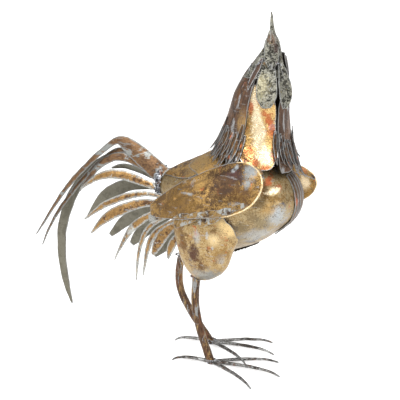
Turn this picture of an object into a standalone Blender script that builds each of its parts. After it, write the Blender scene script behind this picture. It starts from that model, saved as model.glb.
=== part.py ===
"""A crowing rooster, welded from cut and bent sheet steel, standing on its own two feet.

The bird looks along +X, its left side is +Y, and the floor is z = 0. The pose points below are millimetres
from the middle of the stance, for a bird DRAWN_HEIGHT tall. They grow with HEIGHT. Sheet, rod and gap sizes
are real sizes of their own. At the end the bird is moved so that the origin is the middle of its base.
"""

import math

import bmesh
import bpy
from mathutils import Vector
from mathutils.bvhtree import BVHTree

MM = 0.001

# Overall size
HEIGHT = 602 * MM
DRAWN_HEIGHT = 602
POSE = HEIGHT / DRAWN_HEIGHT

# Stock
SHEET = 1.6 * MM
PLUMAGE_SHEET = 1.4 * MM
GAP = 0.3 * MM
FACET_ROOM = 0.4 * MM
FLAT_ANGLE = math.radians(0.5)

# Legs and feet
LEG_RADIUS = 7 * MM
LEG_SIDES = 10
TOE_HALF_WIDTH = 3.5 * MM
TOE_HALF_HEIGHT = 2.9 * MM
CLAW_RADIUS = 1.1 * MM
TOE_RISE = 0.6 * MM
TOE_SIDES = 6
TOE_SPREAD = math.radians(28)

# Neck and head
NECK_TURN = math.radians(-37)
HEAD_TURN = math.radians(-50)
CAPE_LIFT = 2.4 * MM
FRINGE_DROP = 22 * MM
FRINGE_FLARE = 6 * MM

# Wings
WING_FLARE = math.radians(6)
WING_LEAN = math.radians(22)
WING_DISH = 15 * MM
WING_RETURN = 20 * MM


def at(x, y, z):
    """A pose point, in metres."""
    return Vector((x, y, z)) * POSE


def long(millimetres):
    """A length of the pose, in metres."""
    return millimetres * POSE


def through(stations, count):
    """Rows at even steps along a smooth curve that passes through every station."""
    first = [2 * p - q for p, q in zip(stations[0], stations[1])]
    last = [2 * p - q for p, q in zip(stations[-1], stations[-2])]
    padded = [first, *stations, last]
    spans = len(stations) - 1
    rows = []
    for k in range(count):
        t = spans * k / (count - 1)
        i = min(int(t), spans - 1)
        f = t - i
        rows.append(
            [
                0.5 * (2 * b + (c - a) * f + (2 * a - 5 * b + 4 * c - d) * f**2 + (3 * b - a - 3 * c + d) * f**3)
                for a, b, c, d in zip(*padded[i : i + 4])
            ]
        )
    return rows


def length_of(points):
    """The length of a line through points."""
    return sum((b - a).length for a, b in zip(points, points[1:]))


def tangent(points, k):
    """The way a line of points runs at its k-th point."""
    return (points[min(k + 1, len(points) - 1)] - points[max(k - 1, 0)]).normalized()


def finish(name, colour, roughness, metallic):
    """A plain metal finish."""
    made = bpy.data.materials.new(name)
    made.use_nodes = True
    made.diffuse_color = (*colour, 1)
    shader = made.node_tree.nodes["Principled BSDF"]
    shader.inputs["Base Color"].default_value = (*colour, 1)
    shader.inputs["Roughness"].default_value = roughness
    shader.inputs["Metallic"].default_value = metallic
    return made


def closed_loft(rings):
    """A closed mesh through rings of points, with a flat cap on each end."""
    work = bmesh.new()
    loops = [[work.verts.new(p) for p in ring] for ring in rings]
    for near, far in zip(loops, loops[1:]):
        for k in range(len(near)):
            n = (k + 1) % len(near)
            work.faces.new((near[k], near[n], far[n], far[k]))
    for loop in (loops[0], loops[-1]):
        middle = work.verts.new(sum((v.co for v in loop), Vector()) / len(loop))
        for k in range(len(loop)):
            work.faces.new((loop[k], loop[(k + 1) % len(loop)], middle))
    bmesh.ops.recalc_face_normals(work, faces=work.faces)
    bmesh.ops.triangulate(work, faces=work.faces, quad_method="FIXED")
    mesh = bpy.data.meshes.new("loft")
    work.to_mesh(mesh)
    work.free()
    return mesh


def grown(mesh, amount):
    """A copy of a closed mesh whose surface stands that much further out."""
    work = bmesh.new()
    work.from_mesh(mesh)
    work.normal_update()
    moved = [v.co + v.normal * amount * v.calc_shell_factor() for v in work.verts]
    for vertex, place in zip(work.verts, moved):
        vertex.co = place
    copy = bpy.data.meshes.new("room")
    work.to_mesh(copy)
    work.free()
    return copy


def open_grid(rows):
    """An open mesh from rows of points."""
    work = bmesh.new()
    lines = [[work.verts.new(p) for p in row] for row in rows]
    for near, far in zip(lines, lines[1:]):
        for k in range(len(near) - 1):
            work.faces.new((near[k], near[k + 1], far[k + 1], far[k]))
    bmesh.ops.triangulate(work, faces=work.faces, quad_method="FIXED")
    mesh = bpy.data.meshes.new("sheet")
    work.to_mesh(mesh)
    work.free()
    return mesh


def wider(rows, amount):
    """The same rows of points with the outline that much further out."""
    longer = [list(row) for row in rows]
    for row in longer:
        ends = [(row[0] - row[1]).normalized(), (row[-1] - row[-2]).normalized()]
        row[0] = row[0] + ends[0] * amount
        row[-1] = row[-1] + ends[1] * amount
    for edge, inner in ((0, 1), (-1, -2)):
        steps = [(a - b).normalized() * amount for a, b in zip(longer[edge], longer[inner])]
        longer[edge] = [a + step for a, step in zip(longer[edge], steps)]
    return longer


def ellipse(centre, u, v, sides):
    """Points round an ellipse whose half axes are the vectors u and v."""
    turns = [2 * math.pi * k / sides for k in range(sides)]
    return [centre + u * math.cos(t) + v * math.sin(t) for t in turns]


def biggest_part(mesh):
    """Deletes every loose offcut of a mesh but its biggest part."""
    work = bmesh.new()
    work.from_mesh(mesh)
    unseen = set(work.verts)
    parts = []
    for start in work.verts:
        if start not in unseen:
            continue
        unseen.remove(start)
        part = [start]
        for vertex in part:
            for edge in vertex.link_edges:
                other = edge.other_vert(vertex)
                if other in unseen:
                    unseen.remove(other)
                    part.append(other)
        parts.append(part)
    size = [sum(f.calc_area() for f in {f for v in part for f in v.link_faces}) for part in parts]
    keep = parts[size.index(max(size))]
    offcuts = set(work.verts) - set(keep)
    bmesh.ops.delete(work, geom=[v for v in work.verts if v in offcuts], context="VERTS")
    bmesh.ops.dissolve_limit(work, angle_limit=FLAT_ANGLE, verts=work.verts, edges=work.edges)
    work.to_mesh(mesh)
    work.free()


class Bird:
    """The bird so far. A new piece is cut back where it meets an earlier one, as a welder fits it."""

    def __init__(self):
        self.root = bpy.data.objects.new("rooster", None)
        bpy.context.scene.collection.objects.link(self.root)
        self.rooms = []

    def place(self, name, mesh):
        """Puts a mesh into the scene as an object of the bird."""
        piece = bpy.data.objects.new(name, mesh)
        bpy.context.scene.collection.objects.link(piece)
        piece.parent = self.root
        return piece

    def shape_of(self, piece):
        """The piece's mesh with its modifiers done."""
        bpy.context.view_layer.update()
        graph = bpy.context.evaluated_depsgraph_get()
        return bpy.data.meshes.new_from_object(piece.evaluated_get(graph), depsgraph=graph)

    def tree_of(self, mesh):
        """A search tree of a mesh's faces."""
        work = bmesh.new()
        work.from_mesh(mesh)
        tree = BVHTree.FromBMesh(work)
        work.free()
        return tree

    def weld(self, piece, room, material):
        """Cuts a piece back from what it meets. Its room keeps later pieces off it."""
        here = self.tree_of(self.shape_of(piece))
        for other, tree in self.rooms:
            if here.overlap(tree):
                cut = piece.modifiers.new("Fit_to_" + other.name, "BOOLEAN")
                cut.operation = "DIFFERENCE"
                cut.object = other
        fitted = self.shape_of(piece)
        piece.modifiers.clear()
        biggest_part(fitted)
        piece.data = fitted
        fitted.materials.clear()
        fitted.materials.append(material)
        fitted.shade_smooth()
        fitted.set_sharp_from_angle(angle=math.radians(40))
        room.name = piece.name + "_room"
        room.hide_render = True
        room.display_type = "WIRE"
        self.rooms.append((room, self.tree_of(self.shape_of(room))))
        return piece

    def solid(self, name, mesh, material):
        """Adds a closed mesh as a piece."""
        room = self.place("room", grown(mesh, GAP))
        return self.weld(self.place(name, mesh), room, material)

    def sheet(self, name, rows, material, thickness=SHEET):
        """Adds a piece of sheet whose middle surface runs through rows of points."""
        made = []
        for points, wall in ((rows, thickness), (wider(rows, GAP), thickness + 2 * GAP)):
            piece = self.place(name, open_grid(points))
            solidify = piece.modifiers.new("Sheet", "SOLIDIFY")
            solidify.thickness = wall
            solidify.offset = 0
            made.append(piece)
        return self.weld(made[0], made[1], material)

    def leaf(self, name, spine, widths, across, bulge, count, material, thickness=SHEET):
        """Adds a leaf of sheet along a spine. Across is the way its width runs, and bulge dishes it."""
        points = [Vector(p) for p in through([tuple(p) for p in spine], count)]
        spans = [w for (w,) in through([(w,) for w in widths], count)]
        rows = []
        for k, (place, span) in enumerate(zip(points, spans)):
            along = tangent(points, k)
            wide = (across - along * across.dot(along)).normalized()
            normal = along.cross(wide)
            rows.append([place + wide * (span / 2 * c) + normal * (bulge * (1 - c * c)) for c in (-1, 0, 1)])
        return self.sheet(name, rows, material, thickness)


# Torso

TORSO_SIDES = 20
TORSO_RINGS = 15
# x, height of the middle, half height, half width
TORSO = [
    (-98, 298, 22, 17),
    (-70, 297, 38, 36),
    (-30, 289, 63, 56),
    (15, 282, 91, 70),
    (60, 288, 85, 76),
    (100, 296, 74, 73),
    (130, 297, 51, 59),
    (150, 295, 31, 39),
    (157, 294, 11, 14),
]


def torso_mesh():
    """The body: two dished halves welded into one egg-shaped hull."""
    rings = [
        ellipse(at(x, 0, z), Vector((0, long(half_width), 0)), Vector((0, 0, long(half_height))), TORSO_SIDES)
        for x, z, half_height, half_width in through(TORSO, TORSO_RINGS)
    ]
    return closed_loft(rings)


def on_hull(tree, start, direction, layers):
    """Where a ray from inside meets the hull, raised by that many layers of sheet."""
    place, normal, _, _ = tree.ray_cast(start, direction.normalized())
    if normal.dot(direction) < 0:
        normal = -normal
    lift = GAP + SHEET / 2 + FACET_ROOM + (SHEET + GAP + FACET_ROOM) * layers
    return place + normal * lift


BREAST_CENTRE = (92, 0, 290)
BREAST_STRIPS = 5
BREAST_STRIP_ROWS = 9
BREAST_STRIP_PITCH = math.radians(9.5)
BREAST_FIRST = math.radians(-8)
BREAST_TOP = math.radians(46)
BREAST_BOTTOM = math.radians(-64)
BREAST_HALF_WIDTH = 4.8


def breast_strips(bird, hull, material):
    """Long pointed strips that follow the breast down over its front seam."""
    start = at(*BREAST_CENTRE)
    for k in range(BREAST_STRIPS):
        swing = BREAST_FIRST + BREAST_STRIP_PITCH * k
        side = Vector((-math.sin(swing), math.cos(swing), 0))
        rows = []
        for row in range(BREAST_STRIP_ROWS):
            share = row / (BREAST_STRIP_ROWS - 1)
            dip = BREAST_TOP + (BREAST_BOTTOM - BREAST_TOP) * share
            aim = Vector((math.cos(dip) * math.cos(swing), math.cos(dip) * math.sin(swing), math.sin(dip)))
            half = long(BREAST_HALF_WIDTH) * (0.22 + 0.78 * math.sin(math.pi * (0.32 + 0.66 * share)))
            rows.append([on_hull(hull, start + side * half * across, aim, 0) for across in (-1, 0, 1)])
        bird.sheet(f"breast_strip_{k + 1}", rows, material)


SADDLE_ROWS = 8
SADDLE_LEVEL = 290
# name, first x, last x, middle angle from straight up, half angle, layers above the hull
SADDLE_PLATES = [
    ("back_plate_rear", 2, -84, 31, 24, 0),
    ("back_plate_front", 62, -26, 32, 26, 1),
]


def saddle_plates(bird, hull, side, material):
    """Feather-shaped plates that lap like tiles over one side of the back."""
    word = "right" if side < 0 else "left"
    for name, first, last, middle_deg, half_deg, layers in SADDLE_PLATES:
        rows = []
        for k in range(SADDLE_ROWS):
            share = k / (SADDLE_ROWS - 1)
            x = first + (last - first) * share
            spread = half_deg * math.sin(math.pi * (0.22 + 0.76 * share)) ** 0.8
            row = []
            for across in (-1, -0.33, 0.33, 1):
                angle = math.radians(middle_deg + spread * across)
                aim = Vector((0, side * math.sin(angle), math.cos(angle)))
                row.append(on_hull(hull, at(x, 0, SADDLE_LEVEL), aim, layers))
            rows.append(row)
        bird.sheet(f"{name}_{word}", rows, material)


# Neck

# height, x of the middle, radius
NECK = [
    (348, 72, 76),
    (372, 76, 68),
    (396, 80, 57),
    (430, 85, 50),
    (461, 88, 46),
    (492, 95, 39),
    (516, 102, 30),
    (536, 108, 21),
]
NECK_TOP = 536


def neck_row(height):
    """x of the middle and radius of the neck at a height, in pose millimetres."""
    fine = through(NECK, 97)
    for low, high in zip(fine, fine[1:]):
        if height <= high[0]:
            f = (height - low[0]) / (high[0] - low[0])
            return [a + (b - a) * f for a, b in zip(low, high)][1:]
    return fine[-1][1:]


def neck_point(height, turn_deg, lift=0.0):
    """A point on the neck. Turn 0 is the throat, and positive turns go round to the bird's left."""
    x, radius = neck_row(height)
    angle = NECK_TURN + math.radians(turn_deg)
    reach = long(radius) + lift
    return at(x, 0, height) + Vector((math.cos(angle), math.sin(angle), 0)) * reach


CAPE_ROWS = 6
CAPE_STRIPS = 9
# name, front edge angle at the hem and at the top, back edge angle, hem height in front and behind
CAPES = [
    ("hackle_cape_right", -50, -57, -178, 384, 392),
    ("hackle_cape_left", 44, 56, 178, 352, 390),
]


def capes(bird, material):
    """The two hackle sheets round the neck, cut into a pointed fringe at the hem."""
    for name, front_hem, front_top, back, hem_front, hem_back in CAPES:
        columns = CAPE_STRIPS * 2
        rows = []
        for k in range(CAPE_ROWS):
            share = k / (CAPE_ROWS - 1)
            front = front_top + (front_hem - front_top) * share
            lift = CAPE_LIFT * min(1, share * 3)
            row = []
            for c in range(columns + 1):
                hem = hem_front + (hem_back - hem_front) * c / columns
                height = NECK_TOP + (hem - NECK_TOP) * share
                row.append(neck_point(height, front + (back - front) * c / columns, lift))
            rows.append(row)
        fringe = []
        for c, place in enumerate(rows[-1]):
            tip = 1 if c % 2 else 0.25
            outward = place - at(neck_row(hem_front)[0], 0, 0)
            outward.z = 0
            fringe.append(place + outward.normalized() * FRINGE_FLARE * tip - Vector((0, 0, FRINGE_DROP * tip)))
        rows.append(fringe)
        bird.sheet(name, rows, material)


THROAT_ROWS = 8
# name, then height and two edge angles of each station from top to bottom
THROATS = [
    (
        "throat_plate_right",
        [(488, -54, -14), (460, -58, 1), (424, -58, 4), (388, -56, 4), (365, -44, 3), (353, -26, -6)],
    ),
    (
        "throat_plate_left",
        [(462, 12, 26), (440, 8, 50), (412, 8, 52), (385, 8, 52), (358, 7, 40), (346, 12, 26)],
    ),
]


def throat_plates(bird, material):
    """The two long plates of the throat, with a seam between them."""
    for name, stations in THROATS:
        rows = []
        for height, low, high in through(stations, THROAT_ROWS):
            rows.append([neck_point(height, low + (high - low) * c / 3) for c in range(4)])
        bird.sheet(name, rows, material)


# Head

# height, x of the middle, half depth, half width
SKULL = [
    (498, 98, 31, 31),
    (514, 103, 25, 25),
    (530, 107, 18.5, 18.5),
    (545, 110, 13, 13),
]
SKULL_SIDES = 16
SKULL_RINGS = 6
# height, x of the middle, half depth, half width
UPPER_BEAK = [
    (545.5, 110, 13, 13),
    (556, 110, 11, 11),
    (564, 110, 7, 7),
    (572, 110, 3.9, 3.9),
    (584, 109, 2.8, 2.8),
    (595, 108.5, 2, 2),
    (602, 108, 0.8, 0.8),
]
BEAK_SIDES = 10
BEAK_RINGS = 10


def head_axes():
    """The way the head faces, and its left, as unit vectors."""
    ahead = Vector((math.cos(HEAD_TURN), math.sin(HEAD_TURN), 0))
    return ahead, Vector((-ahead.y, ahead.x, 0))


def head_loft(stations, sides, count):
    """A closed loft of upright sections that face the way the head does."""
    ahead, left = head_axes()
    return closed_loft(
        [
            ellipse(at(x, 0, z), ahead * long(half_depth), left * long(half_width), sides)
            for z, x, half_depth, half_width in through(stations, count)
        ]
    )


def head_point(ahead_mm, left_mm, height):
    """A point given from the neck's middle line: so far ahead and to the left of the head, at a height."""
    ahead, left = head_axes()
    return at(106, 0, height) + ahead * long(ahead_mm) + left * long(left_mm)


COMB_POINTS = 5
COMB_TOP = 560
COMB_BOTTOM = 512
COMB_TOOTH = 13
COMB_NOTCH = 5


def comb(bird, material):
    """The toothed comb, which hangs behind the head because the head is thrown back."""
    root = []
    edge = []
    columns = COMB_POINTS * 2
    for c in range(columns + 1):
        share = c / columns
        height = COMB_TOP + (COMB_BOTTOM - COMB_TOP) * share
        back = -(6 + 16 * share)
        reach = COMB_TOOTH * math.sin(math.pi * (0.15 + 0.8 * share)) if c % 2 else COMB_NOTCH
        root.append(head_point(back, 0, height))
        edge.append(head_point(back - 10 - reach, 0, height + 4 + reach * 0.3))
    middle = [(a + b) / 2 for a, b in zip(root, edge)]
    bird.sheet("comb", [root, middle, edge], material)


# name, spine points as (ahead, left, height), widths, way the width runs as (ahead, left), bulge
FACE_LEAVES = [
    ("wattle_right", [(20, -9, 522), (30, -15, 506), (37, -19, 485), (40, -20, 466), (38, -19, 452)],
     [14, 26, 34, 31, 13], (0.35, 1), 3.5),
    ("wattle_left", [(20, 8, 522), (29, 13, 506), (36, 17, 485), (39, 18, 466), (37, 17, 450)],
     [9, 15, 20, 18, 7], (-0.42, 1), 3),
    ("lower_beak", [(25, -1, 512), (21, -1, 528), (17, -1, 545), (12, -1, 560), (8, -1, 572)],
     [6, 21, 20, 11, 3], (0, 1), 2.5),
]
FACE_ROWS = 8
LOBE_HEIGHTS = (530, 514, 496, 480)
LOBE_WIDTHS = [5, 10, 9, 3]
LOBE_TURNS = {"right": -62, "left": 84}
LOBE_LIFT = 3.6 * MM
LOBE_ROWS = 6


def face_leaves(bird, material):
    """Wattles and lower beak, each one leaf of sheet welded to the skull."""
    ahead, left = head_axes()
    for name, spine, widths, across, bulge in FACE_LEAVES:
        direction = ahead * across[0] + left * across[1]
        spots = [head_point(*p) for p in spine]
        bird.leaf(name, spots, [long(w) for w in widths], direction, -long(bulge), FACE_ROWS, material)


def ear_lobes(bird, material):
    """A narrow leaf on each cheek, over the front edge of the hackle sheet."""
    for word, turn_deg in LOBE_TURNS.items():
        turn = math.radians(turn_deg) + NECK_TURN
        round_head = Vector((-math.sin(turn), math.cos(turn), 0))
        spine = [neck_point(height, turn_deg, LOBE_LIFT) for height in LOBE_HEIGHTS]
        bird.leaf(f"ear_lobe_{word}", spine, [long(w) for w in LOBE_WIDTHS], round_head, 0.0, LOBE_ROWS, material)


# Wings

WING_MIDDLES = {"right": (28, -86, 311), "left": (32, 87, 295)}
WING_SLOPES = {"right": math.radians(19.5), "left": math.radians(8)}
WING_ROWS = 12
# along from the middle, half width
WING_OUTLINE = [
    (-114, 9),
    (-100, 16),
    (-74, 24),
    (-40, 32),
    (0, 38.5),
    (40, 42.5),
    (70, 42),
    (92, 35),
    (108, 23),
    (117, 7),
]
WING_DROP = -5
WING_DISH_LENGTH = 130
WING_DISH_WIDTH = 60
WING_FULL_RETURN = 30
FEATHER_ROWS_UNDER_WING = 8
# name, root and tip as (along, up), width
WING_FEATHERS = [
    ("wing_feather_rear", (0, -10), (-122, -17), 25),
    ("wing_feather_middle", (35, -20), (-64, -40), 24),
    ("wing_feather_front", (72, -26), (-14, -49), 22),
]


class Wing:
    """The dished surface of one wing, which its plates share."""

    def __init__(self, word):
        side = -1 if word == "right" else 1
        self.middle = at(*WING_MIDDLES[word])
        rise = WING_SLOPES[word]
        level = Vector((math.cos(WING_FLARE), side * math.sin(WING_FLARE), 0))
        self.along = level * math.cos(rise) + Vector((0, 0, math.sin(rise)))
        inward = Vector((0, -side * math.sin(WING_LEAN), 0))
        upright = inward + (Vector((0, 0, math.cos(rise))) - level * math.sin(rise)) * math.cos(WING_LEAN)
        self.up = (upright - self.along * upright.dot(self.along)).normalized()
        self.out = self.along.cross(self.up)
        if self.out.y * side < 0:
            self.out = -self.out

    def point(self, along, up, lift=0.0):
        """A point on the wing, lifted outwards."""
        dish = 1 - (along / WING_DISH_LENGTH) ** 2 - ((up - WING_DROP) / WING_DISH_WIDTH) ** 2
        return self.middle + self.along * long(along) + self.up * long(up) + self.out * (WING_DISH * dish + lift)


def wing(bird, word, material, under_material):
    """One wing: a big dished plate, and the three long feathers under its lower edge."""
    shape = Wing(word)
    rows = []
    for along, half in through(WING_OUTLINE, WING_ROWS):
        row = [shape.point(along, WING_DROP + half * c / 3) for c in range(-3, 4)]
        fold = row[-1] - shape.out * WING_RETURN * min(1, half / WING_FULL_RETURN) - shape.up * long(2)
        rows.append([*row, (row[-1] + fold) / 2 + shape.up * long(1), fold])
    bird.sheet(f"wing_plate_{word}", rows, material)
    for layer, (name, start, end, width) in enumerate(WING_FEATHERS, 1):
        a, b = Vector(start), Vector(end)
        side_way = Vector((-(b - a).y, (b - a).x)).normalized()
        rows = []
        for k in range(FEATHER_ROWS_UNDER_WING):
            share = k / (FEATHER_ROWS_UNDER_WING - 1)
            half = width / 2 * (0.25 + 0.75 * math.sin(math.pi * (0.12 + 0.80 * share)))
            spots = [a + (b - a) * share + side_way * half * c for c in (-1, 0, 1)]
            drop = (SHEET + GAP + FACET_ROOM) * layer
            rows.append([shape.point(spot.x, spot.y, -drop) for spot in spots])
        bird.sheet(f"{name}_{word}", rows, under_material)


# Legs and feet

# height, x of the middle, y of the middle, half length along x, half width
THIGHS = {
    "right": [
        (288, 26, -44, 75, 30),
        (255, 16, -49, 68, 33),
        (215, 11, -50, 56, 31),
        (191, 9, -48, 48, 28),
        (170, 8, -46, 38, 22),
        (155, 4, -43, 22, 14),
        (147, 0, -42, 8, 7),
    ],
    "left": [
        (288, -8, 44, 60, 30),
        (255, -24, 49, 62, 33),
        (215, -42, 50, 50, 31),
        (193, -52, 48, 42, 27),
        (173, -62, 45, 33, 21),
        (158, -69, 42, 20, 14),
        (150, -71, 41, 8, 7),
    ],
}
THIGH_SIDES = 16
THIGH_RINGS = 11
# The legs run down to the floor
LEGS = {
    "right": [(-4, -43, 172), (-12, -42, 141), (-12, -43, 100), (-5, -44, 65), (9, -45, 27), (21, -46, 0)],
    "left": [(-76, 41, 176), (-88, 40, 146), (-91, 40, 112), (-84, 39, 84), (-65, 38, 55), (-42, 38, 25), (-21, 38, 0)],
}
LEG_RINGS = 12
# length of each front toe
TOES = {
    "right": {"inner": 116, "middle": 129, "outer": 126},
    "left": {"inner": 119, "middle": 123, "outer": 110},
}
# direction of each front toe, in toe spreads towards the bird's middle line
TOE_TURNS = {
    "right": {"inner": 1, "middle": 0, "outer": -1.15},
    "left": {"inner": 1.2, "middle": 0, "outer": -1},
}
BACK_TOE_LENGTH = 70
BACK_TOE_TURN = math.radians(197)
TOE_HEIGHT = 8
TOE_RINGS = 8
CLAW_SHARE = 0.45


def thigh(bird, word, material):
    """One drumstick, beaten from sheet and closed."""
    rings = []
    for z, x, y, half_length, half_width in through(THIGHS[word], THIGH_RINGS):
        u, v = Vector((long(half_length), 0, 0)), Vector((0, long(half_width), 0))
        rings.append(ellipse(at(x, y, z), u, v, THIGH_SIDES))
    bird.solid(f"thigh_{word}", closed_loft(rings), material)


def leg(bird, word, material):
    """One shank: a bent rod, cut off flat where it stands on the floor."""
    points = [at(*p) for p in through(LEGS[word], LEG_RINGS)]
    rings = []
    for k, place in enumerate(points):
        along = Vector((0, 0, -1)) if k == LEG_RINGS - 1 else tangent(points, k)
        wide = Vector((0, 1, 0))
        wide = (wide - along * wide.dot(along)).normalized()
        rings.append(ellipse(place, along.cross(wide) * LEG_RADIUS, wide * LEG_RADIUS, LEG_SIDES))
    bird.solid(f"leg_{word}", closed_loft(rings), material)


def toe(bird, name, hub, turn, length, material):
    """One toe, from inside the leg to its claw, which is bent down to the floor."""
    ahead = Vector((math.cos(turn), math.sin(turn), 0))
    left = Vector((-ahead.y, ahead.x, 0))
    knuckle = long(TOE_HEIGHT)
    root_height = TOE_HALF_HEIGHT + TOE_RISE
    profile = [
        (0, root_height),
        (long(length) * 0.2, (root_height + knuckle) / 2),
        (long(length) * 0.5, knuckle),
        (long(length) * 0.84, knuckle * 0.9),
        (long(length), CLAW_RADIUS),
    ]
    rings = []
    for k, (reach, height) in enumerate(through(profile, TOE_RINGS)):
        taper = max(0.0, (k / (TOE_RINGS - 1) - 1 + CLAW_SHARE) / CLAW_SHARE)
        half_width = TOE_HALF_WIDTH + (CLAW_RADIUS - TOE_HALF_WIDTH) * taper
        half_height = TOE_HALF_HEIGHT + (CLAW_RADIUS - TOE_HALF_HEIGHT) * taper
        place = hub + ahead * reach
        place.z = max(height, half_height)
        rings.append(ellipse(place, left * half_width, Vector((0, 0, half_height)), TOE_SIDES))
    bird.solid(name, closed_loft(rings), material)


def foot(bird, word, material):
    """Three toes ahead and one behind, welded round the foot of the leg."""
    hub = at(*LEGS[word][-1])
    side = 1 if word == "right" else -1
    for label, length in TOES[word].items():
        toe(bird, f"toe_{label}_{word}", hub, TOE_SPREAD * TOE_TURNS[word][label] * side, length, material)
    toe(bird, f"toe_back_{word}", hub, BACK_TOE_TURN, BACK_TOE_LENGTH, material)


# Tail

TAIL_LEAN = math.radians(16)
FEATHER_STEP = 23
FEATHER_FEWEST_ROWS = 6
RIDGE_SHARE = 0.13
TAIL_KNOT = (-98, -4, 305)
TAIL_KNOT_HALF = (13, 19, 27)
KNOT_LUMP = 0.07
# name, side, y at root, y at tip, widths from root to tip, spine as (x, z) from root to tip
FEATHERS = [
    ("sickle_right_1", -1, -13, -20, [32, 33, 27, 15, 11, 10, 9, 7, 2],
     [(-90, 314), (-129, 342), (-160, 363), (-182, 371), (-208, 354), (-247, 321), (-290, 278), (-328, 228), (-365, 176)]),
    ("sickle_right_2", -1, -4, -8, [8, 10, 10, 10, 9, 8, 6, 2],
     [(-95, 312), (-140, 338), (-182, 353), (-216, 334), (-256, 300), (-300, 251), (-336, 202), (-361, 153)]),
    ("sickle_right_3", -1, -8, -13, [8, 12, 15, 15, 13, 3],
     [(-95, 306), (-140, 328), (-169, 340), (-198, 338), (-233, 314), (-268, 268)]),
    ("tail_right_1", -1, -13, -18, [8, 13, 17, 15, 3],
     [(-95, 288), (-125, 298), (-165, 308), (-215, 306), (-262, 274)]),
    ("tail_right_2", -1, -14, -20, [7, 10, 13, 12, 2.5],
     [(-95, 278), (-130, 280), (-172, 268), (-214, 249), (-254, 219)]),
    ("tail_right_3", -1, -17, -24, [7, 15, 20, 19, 3],
     [(-84, 270), (-124, 264), (-164, 251), (-204, 230), (-238, 195)]),
    ("tail_right_4", -1, -20, -24, [6, 12, 16, 9, 1.8],
     [(-78, 256), (-114, 243), (-144, 223), (-168, 193), (-188, 151)]),
    ("tail_right_5", -1, -23, -24, [6, 9, 10, 7, 1.6],
     [(-68, 250), (-106, 231), (-126, 208), (-138, 170), (-143, 120)]),
    ("tail_right_6", -1, -27, -29, [6, 10, 12, 8, 1.6],
     [(-60, 242), (-92, 224), (-110, 202), (-120, 168), (-125, 133)]),
    ("fluff_right_1", -1, -31, -35, [8, 21, 23, 8],
     [(-53, 239), (-76, 220), (-90, 201), (-101, 176)]),
    ("fluff_right_2", -1, -36, -40, [6, 15, 16, 4],
     [(-38, 230), (-54, 212), (-63, 196), (-68, 175)]),
    ("sickle_left_1", 1, 3, 18, [9, 13, 14, 16, 18, 20, 20, 19, 15, 5],
     [(-93, 310), (-150, 334), (-200, 339), (-247, 315), (-286, 276), (-313, 231), (-330, 180), (-332, 125), (-326, 76),
      (-315, 36)]),
    ("sickle_left_2", 1, 9, 18, [8, 11, 12, 10, 3],
     [(-95, 296), (-133, 308), (-168, 316), (-195, 318), (-218, 311)]),
    ("tail_left_1", 1, 14, 28, [8, 18, 25, 25, 5],
     [(-95, 284), (-145, 287), (-196, 279), (-241, 250), (-281, 208)]),
    ("tail_left_2", 1, 17, 26, [7, 15, 21, 24, 24, 19, 8],
     [(-80, 268), (-122, 249), (-160, 231), (-197, 211), (-229, 180)]),
    ("tail_left_3", 1, 20, 24, [7, 15, 22, 25, 27, 22, 10],
     [(-70, 254), (-108, 232), (-136, 213), (-161, 194), (-182, 170)]),
    ("tail_left_4", 1, 24, 28, [7, 15, 22, 25, 24, 16, 5],
     [(-50, 238), (-80, 212), (-100, 192), (-117, 171), (-134, 152)]),
]


def feather(bird, name, side, root_y, tip_y, widths, spine, material):
    """One tail feather: a tapered strip, bent along its length and ridged along its middle."""
    last = len(spine) - 1
    stations = [tuple(at(x, root_y + (tip_y - root_y) * k / last, z)) for k, (x, z) in enumerate(spine)]
    count = max(FEATHER_FEWEST_ROWS, round(length_of([Vector(p) for p in stations]) / long(FEATHER_STEP)) + 1)
    points = [Vector(p) for p in through(stations, count)]
    spans = [long(max(w, 1.5)) for (w,) in through([(w,) for w in widths], count)]
    out = Vector((0, side * math.cos(TAIL_LEAN), math.sin(TAIL_LEAN)))
    rows = []
    for k, (place, span) in enumerate(zip(points, spans)):
        along = tangent(points, k)
        wide = along.cross(out).normalized()
        normal = wide.cross(along).normalized() * (span * RIDGE_SHARE)
        rows.append([place + wide * (span / 2 * c) + normal * (1 - abs(c)) for c in (-1, 0, 1)])
    bird.sheet(name, rows, material, PLUMAGE_SHEET)


def knot(bird, material):
    """The lump of weld that joins the tail feathers to the end of the body."""
    work = bmesh.new()
    bmesh.ops.create_icosphere(work, subdivisions=2, radius=1)
    for vertex in work.verts:
        lump = 1 + KNOT_LUMP * math.sin(7 * vertex.co.x + 3 * vertex.co.z) * math.cos(5 * vertex.co.y)
        vertex.co = at(*TAIL_KNOT) + Vector([long(h) * c * lump for h, c in zip(TAIL_KNOT_HALF, vertex.co)])
    mesh = bpy.data.meshes.new("knot")
    work.to_mesh(mesh)
    work.free()
    bird.solid("tail_weld", mesh, material)


def centre_on_base(bird):
    """Moves the bird so that the middle of its base is the origin."""
    points = [v.co for piece in bird.root.children if not piece.hide_render for v in piece.data.vertices]
    low = Vector([min(p[k] for p in points) for k in range(3)])
    high = Vector([max(p[k] for p in points) for k in range(3)])
    bird.root.location = Vector((-(low.x + high.x) / 2, -(low.y + high.y) / 2, -low.z))


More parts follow.
